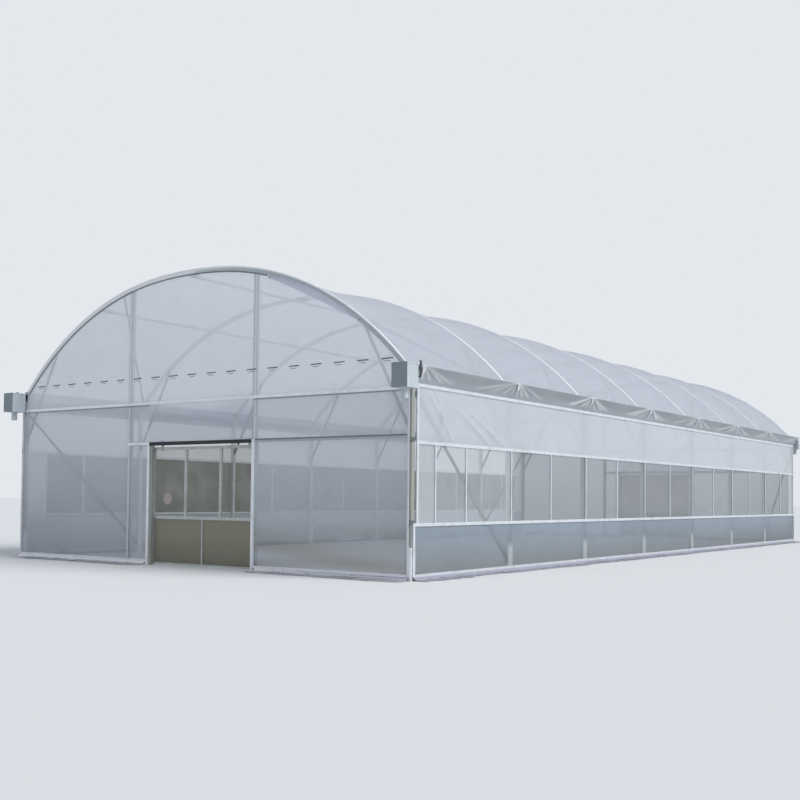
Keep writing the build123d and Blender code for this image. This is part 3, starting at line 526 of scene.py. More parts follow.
# The roof film: one sheet of milky polythene, blown 0.2 mm thick, from gutter to gutter. It
# lies on every hoop, where a pale line is painted on it as a painted highlight, and is drawn
# down between them.
def film(name, colour, opacity, back_light=0.6, crease=0.12, lower=None, line=(), fold=None,
         gloss=0.45):
    """Plastic film. Part of the light goes straight through, and the milky plastic scatters
    the rest to both sides under a faint gloss. Dust varies the opacity by 0.06 over patches of
    1.1 m and the tone over patches of 0.4 m, and soft creases are 0.14 m apart. lower is a
    colour and two heights, between which a wall is darkened downwards: by damp and splashed
    soil on the skirts and the tails, as painted shade on the gables' sheets, and towards the
    ground on the doors' panels. line lists masks of places over steel or in its shadow, with the
    colour painted in each; in them the back light is stopped and the film made opaque. Each is a
    painted highlight where its colour is paler, and painted shade where it is darker. fold is
    the colour painted where the mesh is painted: painted highlights on the eaves flaps' lip and
    folds, and brownish streaks low on the gables' walls."""
    haze = 0.06
    material, tree, output = new_material(name)
    coords = add(tree, "ShaderNodeTexCoord").outputs["Object"]
    dust = add(tree, "ShaderNodeTexNoise", {"Vector": coords, "Scale": 0.9, "Detail": 6.0, "Roughness": 0.6})
    cover = add(tree, "ShaderNodeMapRange",
                {0: dust.outputs[0], 1: 0.3, 2: 0.7, 3: opacity - haze / 2, 4: opacity + haze / 2}).outputs[0]
    grey = tuple(0.92 * c for c in linear(colour)[:3]) + (1.0,)
    patch = add(tree, "ShaderNodeTexNoise", {"Vector": coords, "Scale": 2.6, "Detail": 4.0})
    tone = add(tree, "ShaderNodeMix", {0: patch.outputs[0], 6: linear(colour), 7: grey},
               data_type="RGBA").outputs[2]
    if lower:
        height = add(tree, "ShaderNodeSeparateXYZ", {0: coords}).outputs[2]
        uneven = add(tree, "ShaderNodeMath", {0: patch.outputs[0], 1: 0.3, 2: height},
                     operation="MULTIPLY_ADD")
        share = add(tree, "ShaderNodeMapRange", {0: uneven.outputs[0], 1: lower[1] + 0.15, 2: lower[2] + 0.15,
                                                 3: 1.0, 4: 0.0}, interpolation_type="SMOOTHSTEP").outputs[0]
        tone = add(tree, "ShaderNodeMix", {0: share, 6: tone, 7: linear(lower[0])},
                   data_type="RGBA").outputs[2]
    if fold:
        painted = add(tree, "ShaderNodeAttribute", attribute_name="paint").outputs["Fac"]
        tone = add(tree, "ShaderNodeMix", {0: painted, 6: tone, 7: linear(fold)},
                   data_type="RGBA").outputs[2]
    for masked, painted_light_and_shade_tone in line:
        mask = masked(tree, coords)
        back_light = add(tree, "ShaderNodeMix", {0: mask, 2: back_light, 3: 0.06}).outputs[0]
        cover = add(tree, "ShaderNodeMath", {0: cover, 1: mask}, operation="MAXIMUM").outputs[0]
        share = add(tree, "ShaderNodeMath", {0: mask, 1: 0.85}, operation="MULTIPLY")
        tone = add(tree, "ShaderNodeMix", {0: share.outputs[0], 6: tone, 7: linear(painted_light_and_shade_tone)},
                   data_type="RGBA").outputs[2]
    folds = add(tree, "ShaderNodeTexNoise",
                {"Vector": coords, "Scale": 7.0, "Detail": 3.0, "Distortion": 0.6})
    bump = add(tree, "ShaderNodeBump", {"Height": folds.outputs[0], "Strength": crease, "Distance": 0.02})
    milk = add(tree, "ShaderNodeBsdfDiffuse", {"Color": tone, "Normal": bump.outputs[0]})
    glow = add(tree, "ShaderNodeBsdfTranslucent", {"Color": tone, "Normal": bump.outputs[0]})
    body = add(tree, "ShaderNodeMixShader", {0: back_light, 1: milk.outputs[0], 2: glow.outputs[0]})
    skin = add(tree, "ShaderNodeBsdfGlossy",
               {"Color": linear("#FFFFFF"), "Roughness": 0.3, "Normal": bump.outputs[0]})
    rim = add(tree, "ShaderNodeFresnel", {"IOR": 1.35})
    sheen = add(tree, "ShaderNodeMath", {0: rim.outputs[0], 1: gloss}, operation="MULTIPLY")
    glossy = add(tree, "ShaderNodeMixShader", {0: sheen.outputs[0], 1: body.outputs[0], 2: skin.outputs[0]})
    clear = add(tree, "ShaderNodeBsdfTransparent")
    whole = add(tree, "ShaderNodeMixShader", {0: cover, 1: clear.outputs[0], 2: glossy.outputs[0]})
    tree.links.new(whole.outputs[0], output.inputs["Surface"])
    return material


def on_hoops(tree, coords):
    """1 within 28 mm of a hoop's middle plane, down to 0 at 42 mm: the distance from Y to the
    nearest hoop is a triangle wave with the period of the bays."""
    y = add(tree, "ShaderNodeSeparateXYZ", {0: coords}).outputs[1]
    moved = add(tree, "ShaderNodeMath", {0: y, 1: bay / 2}, operation="ADD")
    away = add(tree, "ShaderNodeMath", {0: moved.outputs[0], 1: bay / 2}, operation="PINGPONG")
    return add(tree, "ShaderNodeMapRange",
               {0: away.outputs[0], 1: 0.028, 2: 0.042, 3: 1.0, 4: 0.0}).outputs[0]


# The pale line along each hoop is a painted highlight.
milky = film("milky_polythene", "#E1E4EC", 0.92, line=[(on_hoops, "#EBEEF4")], gloss=0.12)
purlin_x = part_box("purlins")[1][0] - 0.017
purlin_angle = float(arch_angle(purlin_x, bow_inner + 0.0001))


def roof_surface(rows, sag):
    """The arch carried along Y. Between hoops it is inset by sag * |sin(pi t)|^1.2, where t is
    the place within the bay, and this fades to nothing at the two gutters. Over a side purlin
    it is held up at 57 mm, from where it falls by a tenth of the distance along the arch."""
    angle = np.linspace(-foot_angle, foot_angle, rows)
    beside = np.array([-0.1, -0.03, -0.005, 0.005, 0.03, 0.1]) / haunch_radius
    angle = np.unique(np.concatenate([angle, purlin_angle + beside, -purlin_angle + beside]))
    step = np.array([0, 0.012, 0.03, 0.06, 0.1, 0.16, 0.23, 0.31, 0.4, 0.5])
    step = np.concatenate([step, 1 - step[-2:0:-1]])
    y = np.concatenate([line + bay * step for line in frame_lines[:-1]])
    y = np.concatenate([[-gable_y], y[1:], [gable_y]])
    place = (y - frame_lines[0]) / bay
    dip = np.abs(np.sin(math.pi * np.clip(place, 0, len(frame_lines) - 1))) ** 1.2
    fade = 1 - np.abs(angle / foot_angle) ** 6
    held_up = 0.057 + 0.1 * haunch_radius * np.abs(np.abs(angle) - purlin_angle)
    inset = np.minimum(sag * dip[None, :] * fade[:, None], held_up[:, None])
    x, z = arch(np.broadcast_to(angle[:, None], inset.shape), inset)
    return np.stack([x, np.broadcast_to(y[None, :], x.shape), z], -1)


roof = surface("roof_film_sheet", [roof_surface(141, 0.075)])
dress(roof, milky)
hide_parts("roof_film")


# Its two ends come over the end hoops and down their faces as a narrow hem. The hem is
# doubled, so it is denser than the roof, and has weathered grey. A welt of dark vinyl, matt,
# with dust in patches of 0.1 m, runs along its edge as far as the upper clip of the loose
# piece: a dark strip of painted shadow where the shadow line under the hem lies.
def waves(u, v, seed, count, low, high):
    """Smooth uneven relief from about -1 to 1: the mean of sines in random directions, with
    wavelengths from low to high metres, scaled up by the root of their count."""
    random = np.random.default_rng(seed)
    total = np.zeros_like(u)
    for _ in range(count):
        way, length = random.uniform(0, math.pi), random.uniform(low, high)
        phase = random.uniform(0, 2 * math.pi)
        total += np.sin(2 * math.pi * (u * math.cos(way) + v * math.sin(way)) / length + phase)
    return total / math.sqrt(2 * count)


hem_film = film("weathered_polythene", "#C9D2D5", 0.97, back_light=0.3, crease=0.2)


def hem(count, seed):
    """A profile of inset and distance outside the gable, carried along the arch. The free edge
    leaves the gable by up to 4 mm of uneven waves, and is up to 3 mm longer or shorter."""
    angle = np.linspace(foot_angle, -foot_angle, count)[:, None]
    profile_inset = np.array([-0.0005, -0.0005, 0.0010, 0.0060, 0.025, 0.045, 0.060, 0.070])[None]
    out = np.array([-0.036, 0.0, 0.0045, 0.0070, 0.0085, 0.0085, 0.0080, 0.0070])[None]
    loose = np.array([0, 0, 0, 0, 0, 0.1, 0.5, 1.0])[None]
    uneven = waves(angle * 6, angle * 0, seed, 12, 0.15, 1.1)
    inset = profile_inset + loose * 0.003 * uneven
    out = out + loose * 0.002 * (1 + uneven)
    x, z = arch(np.broadcast_to(angle, inset.shape), inset)
    return np.stack([x, -(gable_y + out), z], -1)


shadow_welt_inset = 0.083


def shadow_welt(first, last, count):
    """A flattened tube, 24 mm by 12 mm, along the arch between two angles, closed to a point
    at both ends."""
    angle = np.linspace(first, last, count)[:, None]
    size = np.ones_like(angle)
    size[[0, -1]] = 0
    around = np.linspace(0, 2 * math.pi, 11)[None]
    inset = shadow_welt_inset + 0.012 * size * np.cos(around)
    x, z = arch(angle + 0 * around, inset)
    return np.stack([x, -(gable_y + 0.0125 + 0.006 * size * np.sin(around)), z], -1)


# The welt's dark vinyl is painted shadow along the hem's edge.
shadow_line_vinyl, tree, output = new_material("shadow_line_vinyl")
coords = add(tree, "ShaderNodeTexCoord").outputs["Object"]
dust = add(tree, "ShaderNodeTexNoise", {"Vector": coords, "Scale": 9.0, "Detail": 5.0})
tone = add(tree, "ShaderNodeMix", {0: dust.outputs[0], 6: linear("#646973"), 7: linear("#7F8590")},
           data_type="RGBA")
vinyl = add(tree, "ShaderNodeBsdfPrincipled", {"Base Color": tone.outputs[2], "Roughness": 0.6})
tree.links.new(vinyl.outputs[0], output.inputs["Surface"])
clips = np.array([(1.839, 4.906), (3.723, 4.020)])
upper_clip = float(arch_angle(clips[0, 0] - 0.02, shadow_welt_inset))
for end, word in ((1, "front"), (-1, "back")):
    piece = surface(f"{word}_roof_hem", [turned(hem(361, 7 + end)[::-1], y=end)])
    dress(piece, hem_film)
    piece = surface(f"{word}_hem_shadow_welt", [turned(shadow_welt(upper_clip, -foot_angle, 301)[::-1], y=end)])
    dress(piece, shadow_line_vinyl)


# On the right of the front hoop part of that hem has come loose, and hangs as a taut flap
# between two steel clips. Its lower edge is rolled, and pale against the shadow below it.
flap_top, edge_start = 0.045, 0.93


def loose_flap(columns, rows):
    """From the hoop's lower edge down to a chord between the clips, which is lifted by 18 mm
    in its middle; the cloth stands out by 30 mm * sin(pi s) * sin(pi t) from the gable."""
    s = np.linspace(0, 1, columns)[:, None]
    t = np.linspace(0, 1, rows)[None, :]
    x = clips[0, 0] + (clips[1, 0] - clips[0, 0]) * s
    upper_z = arch(arch_angle(x, flap_top), flap_top)[1]
    lower_z = clips[0, 1] + (clips[1, 1] - clips[0, 1]) * s + 0.018 * np.sin(math.pi * s)
    down = np.minimum(t / edge_start, 1)
    edge = np.clip((t - edge_start) / (1 - edge_start), 0, 1)
    z = upper_z + (lower_z - upper_z) * down - 0.010 * np.sin(math.pi * edge)
    swell = 0.030 * np.sin(math.pi * s) * np.sin(0.5 * math.pi * down) ** 0.8
    ripple = 0.004 * waves(s * 2 + 0 * t, t * 0.3 + 0 * s, 21, 8, 0.15, 0.6) * np.sin(math.pi * s)
    out = 0.0135 + swell + ripple * t + 0.012 * edge * np.sin(math.pi * s)
    return np.stack([x + 0 * t, -(gable_y + out), z], -1)


flap = surface("front_loose_flap", [loose_flap(121, 18)[::-1]])
dress(flap, milky)
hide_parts("front_film_flap")
places = [(x + dx, -(gable_y + 0.012), z + dz) for x, z in clips for dx, dz in ((0.0, 0.0), (0.022, -0.008))]
dress(hex_heads("flap_clips", places, (0, -1, 0), 0.011), bright_zinc)


# The long walls: an upper panel of white polythene, pulled into slanting creases near its
# ends, lighter on the left wall as painted light; a band of insect mesh with a hazy panel at
# each end; and a skirt of frosted film, which is clearer and greyer, dulled by damp and soil
# from below, and painted paler over each ground stub as a painted highlight.
def streaks(u, v, lines):
    """Sum of narrow ridges. Each line is (u, v, du, dv, width, height): across it the ridge is
    height * exp(-(d / width)^2), and along it sin(pi t) fades it in and out."""
    total = np.zeros_like(u)
    for u0, v0, du, dv, width, height in lines:
        length = math.hypot(du, dv)
        along = ((u - u0) * du + (v - v0) * dv) / length**2
        across = ((u - u0) * dv - (v - v0) * du) / length
        total += height * np.exp(-(across / width) ** 2) * np.sin(math.pi * np.clip(along, 0, 1))
    return total


def on_stubs(tree, coords):
    """Over a ground stub, where the film is painted paler as a painted highlight: within 60 mm
    of a frame's middle plane, fading out at 100 mm, and up to 0.4 m, fading out at 0.5 m."""
    axes = add(tree, "ShaderNodeSeparateXYZ", {0: coords})
    moved = add(tree, "ShaderNodeMath", {0: axes.outputs[1], 1: bay / 2}, operation="ADD")
    away = add(tree, "ShaderNodeMath", {0: moved.outputs[0], 1: bay / 2}, operation="PINGPONG")
    across = add(tree, "ShaderNodeMapRange", {0: away.outputs[0], 1: 0.060, 2: 0.100, 3: 0.9, 4: 0.0})
    up = add(tree, "ShaderNodeMapRange", {0: axes.outputs[2], 1: 0.40, 2: 0.50, 3: 1.0, 4: 0.0})
    return add(tree, "ShaderNodeMath", {0: across.outputs[0], 1: up.outputs[0]},
               operation="MULTIPLY").outputs[0]


white_film = film("white_polythene", "#E1E4E8", 0.92, back_light=0.5, crease=0.1)
# A lighter, more translucent copy of the white film for the left wall: painted light.
shaded_film = film("white_polythene_painted_light", "#EFF0F0", 0.88, back_light=0.9, crease=0.1)
# The skirt is painted paler over each ground stub: a painted highlight.
frosted = film("frosted_polythene", "#ABB7C2", 0.88, back_light=0.5, crease=0.25,
               lower=("#93999A", 0.0, 0.9), line=[(on_stubs, "#B4BCBD")], gloss=0.05)
hazy_film = film("hazy_polythene", "#D3D8DB", 0.88, back_light=0.5)
film_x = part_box("right_upper_film")[0][0] + 0.001
upper_end, skirt_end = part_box("right_upper_film")[1][1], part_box("right_skirt_film")[1][1]
mesh_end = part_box("right_window_mesh")[1][1]


def along_wall(end, fine, coarse, reach=2.8):
    """Places along a wall, close together near both ends and further apart between."""
    near = np.arange(0, reach, fine)
    middle = np.linspace(-end + reach, end - reach, int(2 * (end - reach) / coarse))
    return np.concatenate([-end + near, middle, end - near[::-1]])


def wall_panel(side, y, z0, z1, depth, seed, lines, rows=41):
    """A flat panel of a long wall that stands out from its posts by depth * uneven waves and
    by its creases. Both die away at the clamped edges as 1 - (2t - 1)^8."""
    y, z = np.meshgrid(y, np.linspace(z0, z1, rows), indexing="ij")
    hold = (1 - (2 * (z - z0) / (z1 - z0) - 1) ** 8) * (1 - np.abs(y / y.max()) ** 60)
    relief = depth * (0.5 + 0.4 * waves(y, z, seed, 9, 0.5, 2.4)) + streaks(y, z, lines)
    return turned(np.stack([film_x + np.maximum(relief, 0) * hold, y, z], -1), x=side)


def end_creases(seed, z0, z1, count, spread, lean, height):
    """Creases that start near both ends of a wall and slant away from them, lean metres along
    for each metre down."""
    random = np.random.default_rng(seed)
    lines = []
    for end in (-1, 1):
        for _ in range(count):
            start = 10.35 - spread * random.random() ** 1.4
            length = random.uniform(0.35, 0.8) * (z1 - z0)
            top = z1 - random.uniform(0, 0.35) * (z1 - z0)
            tilt = lean * random.uniform(0.7, 1.3)
            lines.append((end * start, top, -end * length * tilt, -length, random.uniform(0.012, 0.03),
                          height * random.uniform(0.4, 1)))
    return lines


large_creases = [(-10.25, 3.02, 0.95, -0.98, 0.042, 0.036), (-9.92, 3.05, 0.25, -0.85, 0.030, 0.030),
                 (-9.45, 2.76, 1.45, -0.74, 0.050, 0.034), (-9.1, 2.74, 1.50, -0.66, 0.038, 0.028),
                 (1.2, 2.76, -1.5, -0.64, 0.050, 0.028), (1.6, 2.80, -1.6, -0.66, 0.035, 0.022),
                 (4.6, 2.88, -2.3, -0.72, 0.050, 0.032), (5.1, 2.90, -2.3, -0.72, 0.038, 0.026),
                 (6.7, 2.94, -1.8, -0.74, 0.050, 0.030), (9.0, 2.92, -1.7, -0.80, 0.045, 0.024)]
for side, word in ((1, "right"), (-1, "left")):
    lines = end_creases(11, window_top, rail_top, 9, 2.6, 0.9, 0.010) + large_creases
    panel = wall_panel(side, along_wall(upper_end, 0.014, 0.08), window_top, rail_top, 0.006, 3, lines)
    upper = surface(f"{word}_upper_sheet", [panel])
    dress(upper, white_film if side > 0 else shaded_film)
    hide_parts(f"{word}_upper_film")
    lines = end_creases(17, 0.05, sill, 18, 2.4, 0.35, 0.007)
    panel = wall_panel(side, along_wall(skirt_end, 0.014, 0.08), 0.0, sill, 0.008, 5, lines)
    skirt = surface(f"{word}_skirt_sheet", [panel])
    dress(skirt, frosted)
    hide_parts(f"{word}_skirt_film")
grids = []
for side in (1, -1):
    for end in (1, -1):
        y = end * np.linspace(mesh_end, upper_end, 36)[::end]
        y, z = np.meshgrid(y, np.linspace(sill, window_top, 61), indexing="ij")
        hold = np.sin(math.pi * (z - sill) / (window_top - sill)) * np.sin(
            math.pi * np.clip((np.abs(y) - mesh_end) / (upper_end - mesh_end), 0, 1))
        relief = 0.004 * hold * (1 + waves(y, z, 31, 8, 0.2, 0.8))
        grids.append(turned(np.stack([film_x + relief, y, z], -1), x=side))
end_sheets = dress(surface("window_end_sheets", grids), hazy_film)
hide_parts("window_end_panels")


# The window band is insect mesh, woven of polythene thread and greyed by dust. The left
# wall's is a darker, denser copy, as painted shade. The threads are under a millimetre apart,
# too fine to show, so the weave is drawn with threads 9 mm apart that let through the same
# light.
bar_pitch = bay / 2


def mesh_cloth(name, colour, thin, dense, across, through=0.25, newer=None, on_bars=None):
    """Woven threads 9 mm apart: opacity follows max(|sin|, |sin|) of the two coordinates in the
    cloth's plane, between its thinnest and its densest places, with dust in patches of 0.6 m.
    through is how much light the threads themselves pass on. newer is the colour in the first
    bay, where the cloth is cleaner and a quarter more open. on_bars is a pale colour painted
    with full cover where it lies on a window bar: a painted highlight."""
    thread_pitch = 0.009
    material, tree, output = new_material(name)
    coords = add(tree, "ShaderNodeTexCoord").outputs["Object"]
    axes = add(tree, "ShaderNodeSeparateXYZ", {0: coords})
    threads = []
    for axis in (across, 2):
        wave = add(tree, "ShaderNodeMath", {0: axes.outputs[axis], 1: math.pi / thread_pitch},
                   operation="MULTIPLY")
        wave = add(tree, "ShaderNodeMath", {0: wave.outputs[0]}, operation="SINE")
        threads.append(add(tree, "ShaderNodeMath", {0: wave.outputs[0]}, operation="ABSOLUTE").outputs[0])
    weave = add(tree, "ShaderNodeMath", {0: threads[0], 1: threads[1]}, operation="MAXIMUM")
    dust = add(tree, "ShaderNodeTexNoise", {"Vector": coords, "Scale": 1.7, "Detail": 6.0})
    blot = add(tree, "ShaderNodeMapRange", {0: dust.outputs[0], 1: 0.3, 2: 0.7, 3: 0.92, 4: 1.08})
    cover = add(tree, "ShaderNodeMapRange", {0: weave.outputs[0], 1: 0.6, 2: 1.0, 3: thin, 4: dense})
    cover = add(tree, "ShaderNodeMath", {0: cover.outputs[0], 1: blot.outputs[0]}, operation="MULTIPLY",
                use_clamp=True)
    first = add(tree, "ShaderNodeMapRange",
                {0: axes.outputs[1], 1: frame_lines[1] - 0.1, 2: frame_lines[1] + 0.2, 3: 1.0, 4: 0.0})
    if newer:
        open_share = add(tree, "ShaderNodeMapRange", {0: first.outputs[0], 3: 1.0, 4: 0.75})
        cover = add(tree, "ShaderNodeMath", {0: cover.outputs[0], 1: open_share.outputs[0]},
                    operation="MULTIPLY")
    tone = add(tree, "ShaderNodeMix", {0: first.outputs[0], 6: linear(colour), 7: linear(newer or colour)},
               data_type="RGBA").outputs[2]
    # Over a bar the cloth is painted pale and opaque: a painted highlight.
    if on_bars:
        away = add(tree, "ShaderNodeMath", {0: axes.outputs[1], 1: bar_pitch / 2}, operation="PINGPONG")
        bar = add(tree, "ShaderNodeMapRange", {0: away.outputs[0], 1: 0.022, 2: 0.030, 3: 1.0, 4: 0.0})
        cover = add(tree, "ShaderNodeMath", {0: cover.outputs[0], 1: bar.outputs[0]}, operation="MAXIMUM")
        tone = add(tree, "ShaderNodeMix", {0: bar.outputs[0], 6: tone, 7: linear(on_bars)},
                   data_type="RGBA").outputs[2]
    thread = add(tree, "ShaderNodeBsdfPrincipled",
                 {"Base Color": tone, "Roughness": 0.7, "Specular IOR Level": 0.2})
    glow = add(tree, "ShaderNodeBsdfTranslucent", {"Color": tone})
    body = add(tree, "ShaderNodeMixShader", {0: through, 1: thread.outputs[0], 2: glow.outputs[0]})
    clear = add(tree, "ShaderNodeBsdfTransparent")
    whole = add(tree, "ShaderNodeMixShader", {0: cover.outputs[0], 1: clear.outputs[0], 2: body.outputs[0]})
    tree.links.new(whole.outputs[0], output.inputs["Surface"])
    return material


# The left wall's cloth is darker and denser, as painted shade, and painted pale over its bars.
window_cloth = mesh_cloth("woven_insect_mesh", "#999FA3", 0.44, 0.78, across=1, newer="#CDD2D5")
shaded_cloth = mesh_cloth("insect_mesh_painted_shade", "#7E8079", 0.84, 0.98, across=1, through=0.12,
                         on_bars="#ECECE2")
y, z = np.meshgrid(np.linspace(-mesh_end, mesh_end, 400), np.linspace(sill, window_top, 25),
                   indexing="ij")
hold = np.sin(math.pi * (z - sill) / (window_top - sill)) * np.abs(np.sin(math.pi * y / bar_pitch))
relief = 0.003 * hold * (1 + waves(y, z, 41, 8, 0.4, 1.6))
for side, word, woven in ((1, "right", window_cloth), (-1, "left", shaded_cloth)):
    cloth = surface(f"{word}_mesh_sheet", [turned(np.stack([film_x + relief, y, z], -1), x=side)])
    dress(cloth, woven)
    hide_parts(f"{word}_window_mesh")

# The eaves flaps: heavy film, painted grey as painted shade on its downward face, that
# closes the gap from the gutter's lip back to the top rail. It is pinched under a coated metal
# tab at every hoop, and folds fan out from each tab. The folds and the film over the lip are
# painted pale, as painted highlights.
# Grey as painted shade; the paint gives the folds and the lip their painted highlights.
eaves_film = film("eaves_polythene", "#B0B7BB", 0.97, back_light=0.25, crease=0.25, fold="#F2F5F9")
lip_x, lip_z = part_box("right_gutter")[1][0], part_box("right_gutter_flap")[1][2]
rail_edge = (strip_x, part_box("side_top_rails")[1][2])
tab_lines = np.clip(frame_lines, post_size - gable_y, gable_y - post_size)
lip_path = np.array([(lip_x - 0.012, lip_z - 0.010), (lip_x - 0.006, lip_z + 0.001), (lip_x, lip_z + 0.003),
                     (lip_x + 0.003, lip_z - 0.002)])
fold_slopes, fold_height = (-4.6, -2.6, -1.3, -0.45, 0.35, 1.1, 2.4, 4.2), 0.022


def eaves_flap(columns, rows, seed):
    """Over the gutter's lip and down in a straight line to the top rail, as s goes from 0 to
    1. Folds are ridges exp(-|d / width|^1.6) that fan out below each tab, where d is the
    distance along the wall from a line that slants with its own slope. Gives the points, and
    the paint for the painted highlights: 1 on the lip and on the folds."""
    random = np.random.default_rng(seed)
    y = np.linspace(-gable_y, gable_y, columns)[:, None]
    s = np.linspace(0, 1, rows)[None, :]
    start, stop = lip_path[-1], np.array([rail_edge[0] - 0.002, rail_edge[1]])
    drop = math.dist(start, stop)
    relief = 0.012 * np.sin(math.pi * s) * (waves(y + 0 * s, 0.3 * s + 0 * y, seed, 8, 0.8, 3.0) - 0.3)
    folds = np.zeros_like(relief)
    for line in tab_lines:
        for slope in fold_slopes:
            slope *= random.uniform(0.75, 1.25)
            width = random.uniform(0.016, 0.030) * (1 + 0.6 * abs(slope)) * (0.4 + s)
            height = random.uniform(0.010, fold_height)
            ridge_line = line + slope * (s + 0.06) * drop
            fade = np.sin(math.pi * np.clip(s * 1.05 + 0.12, 0, 1)) ** 0.6
            folds = folds + height * fade * np.exp(-np.abs((y - ridge_line) / width) ** 1.6)
    relief = relief + folds
    outward = np.array([-(stop - start)[1], (stop - start)[0]]) / drop
    x = start[0] + (stop - start)[0] * s + outward[0] * relief
    z = start[1] + (stop - start)[1] * s + outward[1] * relief
    over = np.broadcast_to(lip_path[None, :-1, :], (columns, len(lip_path) - 1, 2))
    x = np.concatenate([over[..., 0], x], 1)
    z = np.concatenate([over[..., 1], z], 1)
    paint = np.concatenate([np.ones(over.shape[:2]), np.clip(folds / fold_height, 0, 1)], 1)
    return np.stack([x, np.broadcast_to(y, x.shape), z], -1), paint


# Each tab is hooked over the lip and bolted to it. It is 72 mm wide, and narrows at its foot.
tab_x = lip_x + np.array([-0.016, -0.014, -0.008, 0.004, 0.010, 0.004, -0.010, -0.006])
tab_z = lip_z + np.array([-0.030, 0.002, 0.0075, 0.0070, 0.0, -0.060, -0.108, -0.116])
tab_y = np.array([-0.036, -0.033, 0.033, 0.036])
narrower = np.array([0, 0, 0, 0, 0, 0, 0, 0.012])
tabs, places, outward = [], [], []
for side, word in ((1, "right"), (-1, "left")):
    grid, paint = eaves_flap(1300, 13, 5)
    flipped = paint[::-1] if side > 0 else paint
    sheet = surface(f"{word}_eaves_sheet", [turned(grid[::-1], x=side)], paint=[flipped])
    dress(sheet, eaves_film)
    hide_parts(f"{word}_gutter_flap")
    for line in tab_lines:
        y = line + tab_y[:, None] - np.sign(tab_y)[:, None] * narrower
        grid = np.stack([np.broadcast_to(tab_x, y.shape), y, np.broadcast_to(tab_z, y.shape)], -1)
        tabs.append(turned(grid[::-1], x=side))
        places.append((side * (lip_x + 0.0075), line, lip_z - 0.035))
        outward.append((side, 0, 0.1))
lip_tabs = surface("gutter_lip_tabs", tabs, smooth=False)
thick = lip_tabs.modifiers.new("thickness", "SOLIDIFY")
thick.thickness, thick.offset = 0.003, 0.0
dress(lip_tabs, profile)
dress(hex_heads("lip_bolts", places, outward, 0.007), bright_zinc)


# The gable film: one sheet of milky polythene that fills the arch and comes down over the
# doorway, taut over two studs, and a sheet of the same on each side of the doorway. The sheets
# are painted pale where they lie on the studs, a painted highlight, and dark along the studs'
# edges, over the head rail and beside the jamb, as painted shade. Each is also painted darker
# towards its lower edge, as painted shade.
stud_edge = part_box("front_studs")[1][0]
stud_x, stud_band = stud_edge - 0.040, stud_edge - 0.025
film_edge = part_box("front_wall_films")[1][0]
film_y = gable_y + 0.0025
foot_x = arch_foot[0] - under_film


def near(tree, value, middle, half, soft):
    """1 within half of the middle of a value, down to 0 at soft more."""
    away = add(tree, "ShaderNodeMath", {0: value, 1: middle}, operation="SUBTRACT")
    away = add(tree, "ShaderNodeMath", {0: away.outputs[0]}, operation="ABSOLUTE")
    return add(tree, "ShaderNodeMapRange",
               {0: away.outputs[0], 1: half, 2: half + soft, 3: 1.0, 4: 0.0}).outputs[0]


def on_studs(tree, coords):
    """Within 26 mm of the line on each stud where the film lies on it."""
    x = add(tree, "ShaderNodeSeparateXYZ", {0: coords}).outputs[0]
    across = add(tree, "ShaderNodeMath", {0: x}, operation="ABSOLUTE")
    return near(tree, across.outputs[0], stud_band, 0.026, 0.005)


def stud_edges(tree, coords):
    """Along both edges of that band, where the film leaves the stud."""
    x = add(tree, "ShaderNodeSeparateXYZ", {0: coords}).outputs[0]
    across = add(tree, "ShaderNodeMath", {0: x}, operation="ABSOLUTE")
    away = add(tree, "ShaderNodeMath", {0: across.outputs[0], 1: stud_band}, operation="SUBTRACT")
    away = add(tree, "ShaderNodeMath", {0: away.outputs[0]}, operation="ABSOLUTE")
    return near(tree, away.outputs[0], 0.028, 0.005, 0.004)


def on_head_rail(tree, coords, shift=0.0, half=0.030):
    """Over the rail that runs on from the doorway's head to the right corner post. Its middle
    may be moved up by a shift, and half of its height given."""
    axes = add(tree, "ShaderNodeSeparateXYZ", {0: coords})
    rail = near(tree, axes.outputs[2], head_z + shift, half, 0.005)
    past = add(tree, "ShaderNodeMath", {0: axes.outputs[0], 1: 0.0}, operation="GREATER_THAN")
    return add(tree, "ShaderNodeMath", {0: rail, 1: past.outputs[0]}, operation="MULTIPLY").outputs[0]


def head_rail_edge(tree, coords):
    """Along the upper edge of that rail."""
    return on_head_rail(tree, coords, shift=0.016, half=0.010)


def under_eaves(tree, coords):
    """Along the lower edge of the eaves rail, in the shadow of its strip."""
    z = add(tree, "ShaderNodeSeparateXYZ", {0: coords}).outputs[2]
    return near(tree, z, eaves_z - 0.038, 0.010, 0.005)


def by_jamb(tree, coords):
    """0.6 between the left stud and the front doorway, where the film is painted darker as painted shade."""
    half = 0.230
    axes = add(tree, "ShaderNodeSeparateXYZ", {0: coords})
    strip = near(tree, axes.outputs[0], doorway[0] - half, half, 0.030)
    below = add(tree, "ShaderNodeMath", {0: axes.outputs[2], 1: head_z}, operation="LESS_THAN")
    front = add(tree, "ShaderNodeMath", {0: axes.outputs[1], 1: 0.0}, operation="LESS_THAN")
    strip = add(tree, "ShaderNodeMath", {0: strip, 1: below.outputs[0]}, operation="MULTIPLY")
    strip = add(tree, "ShaderNodeMath", {0: strip.outputs[0], 1: front.outputs[0]}, operation="MULTIPLY")
    return add(tree, "ShaderNodeMath", {0: strip.outputs[0], 1: 0.6}, operation="MULTIPLY").outputs[0]


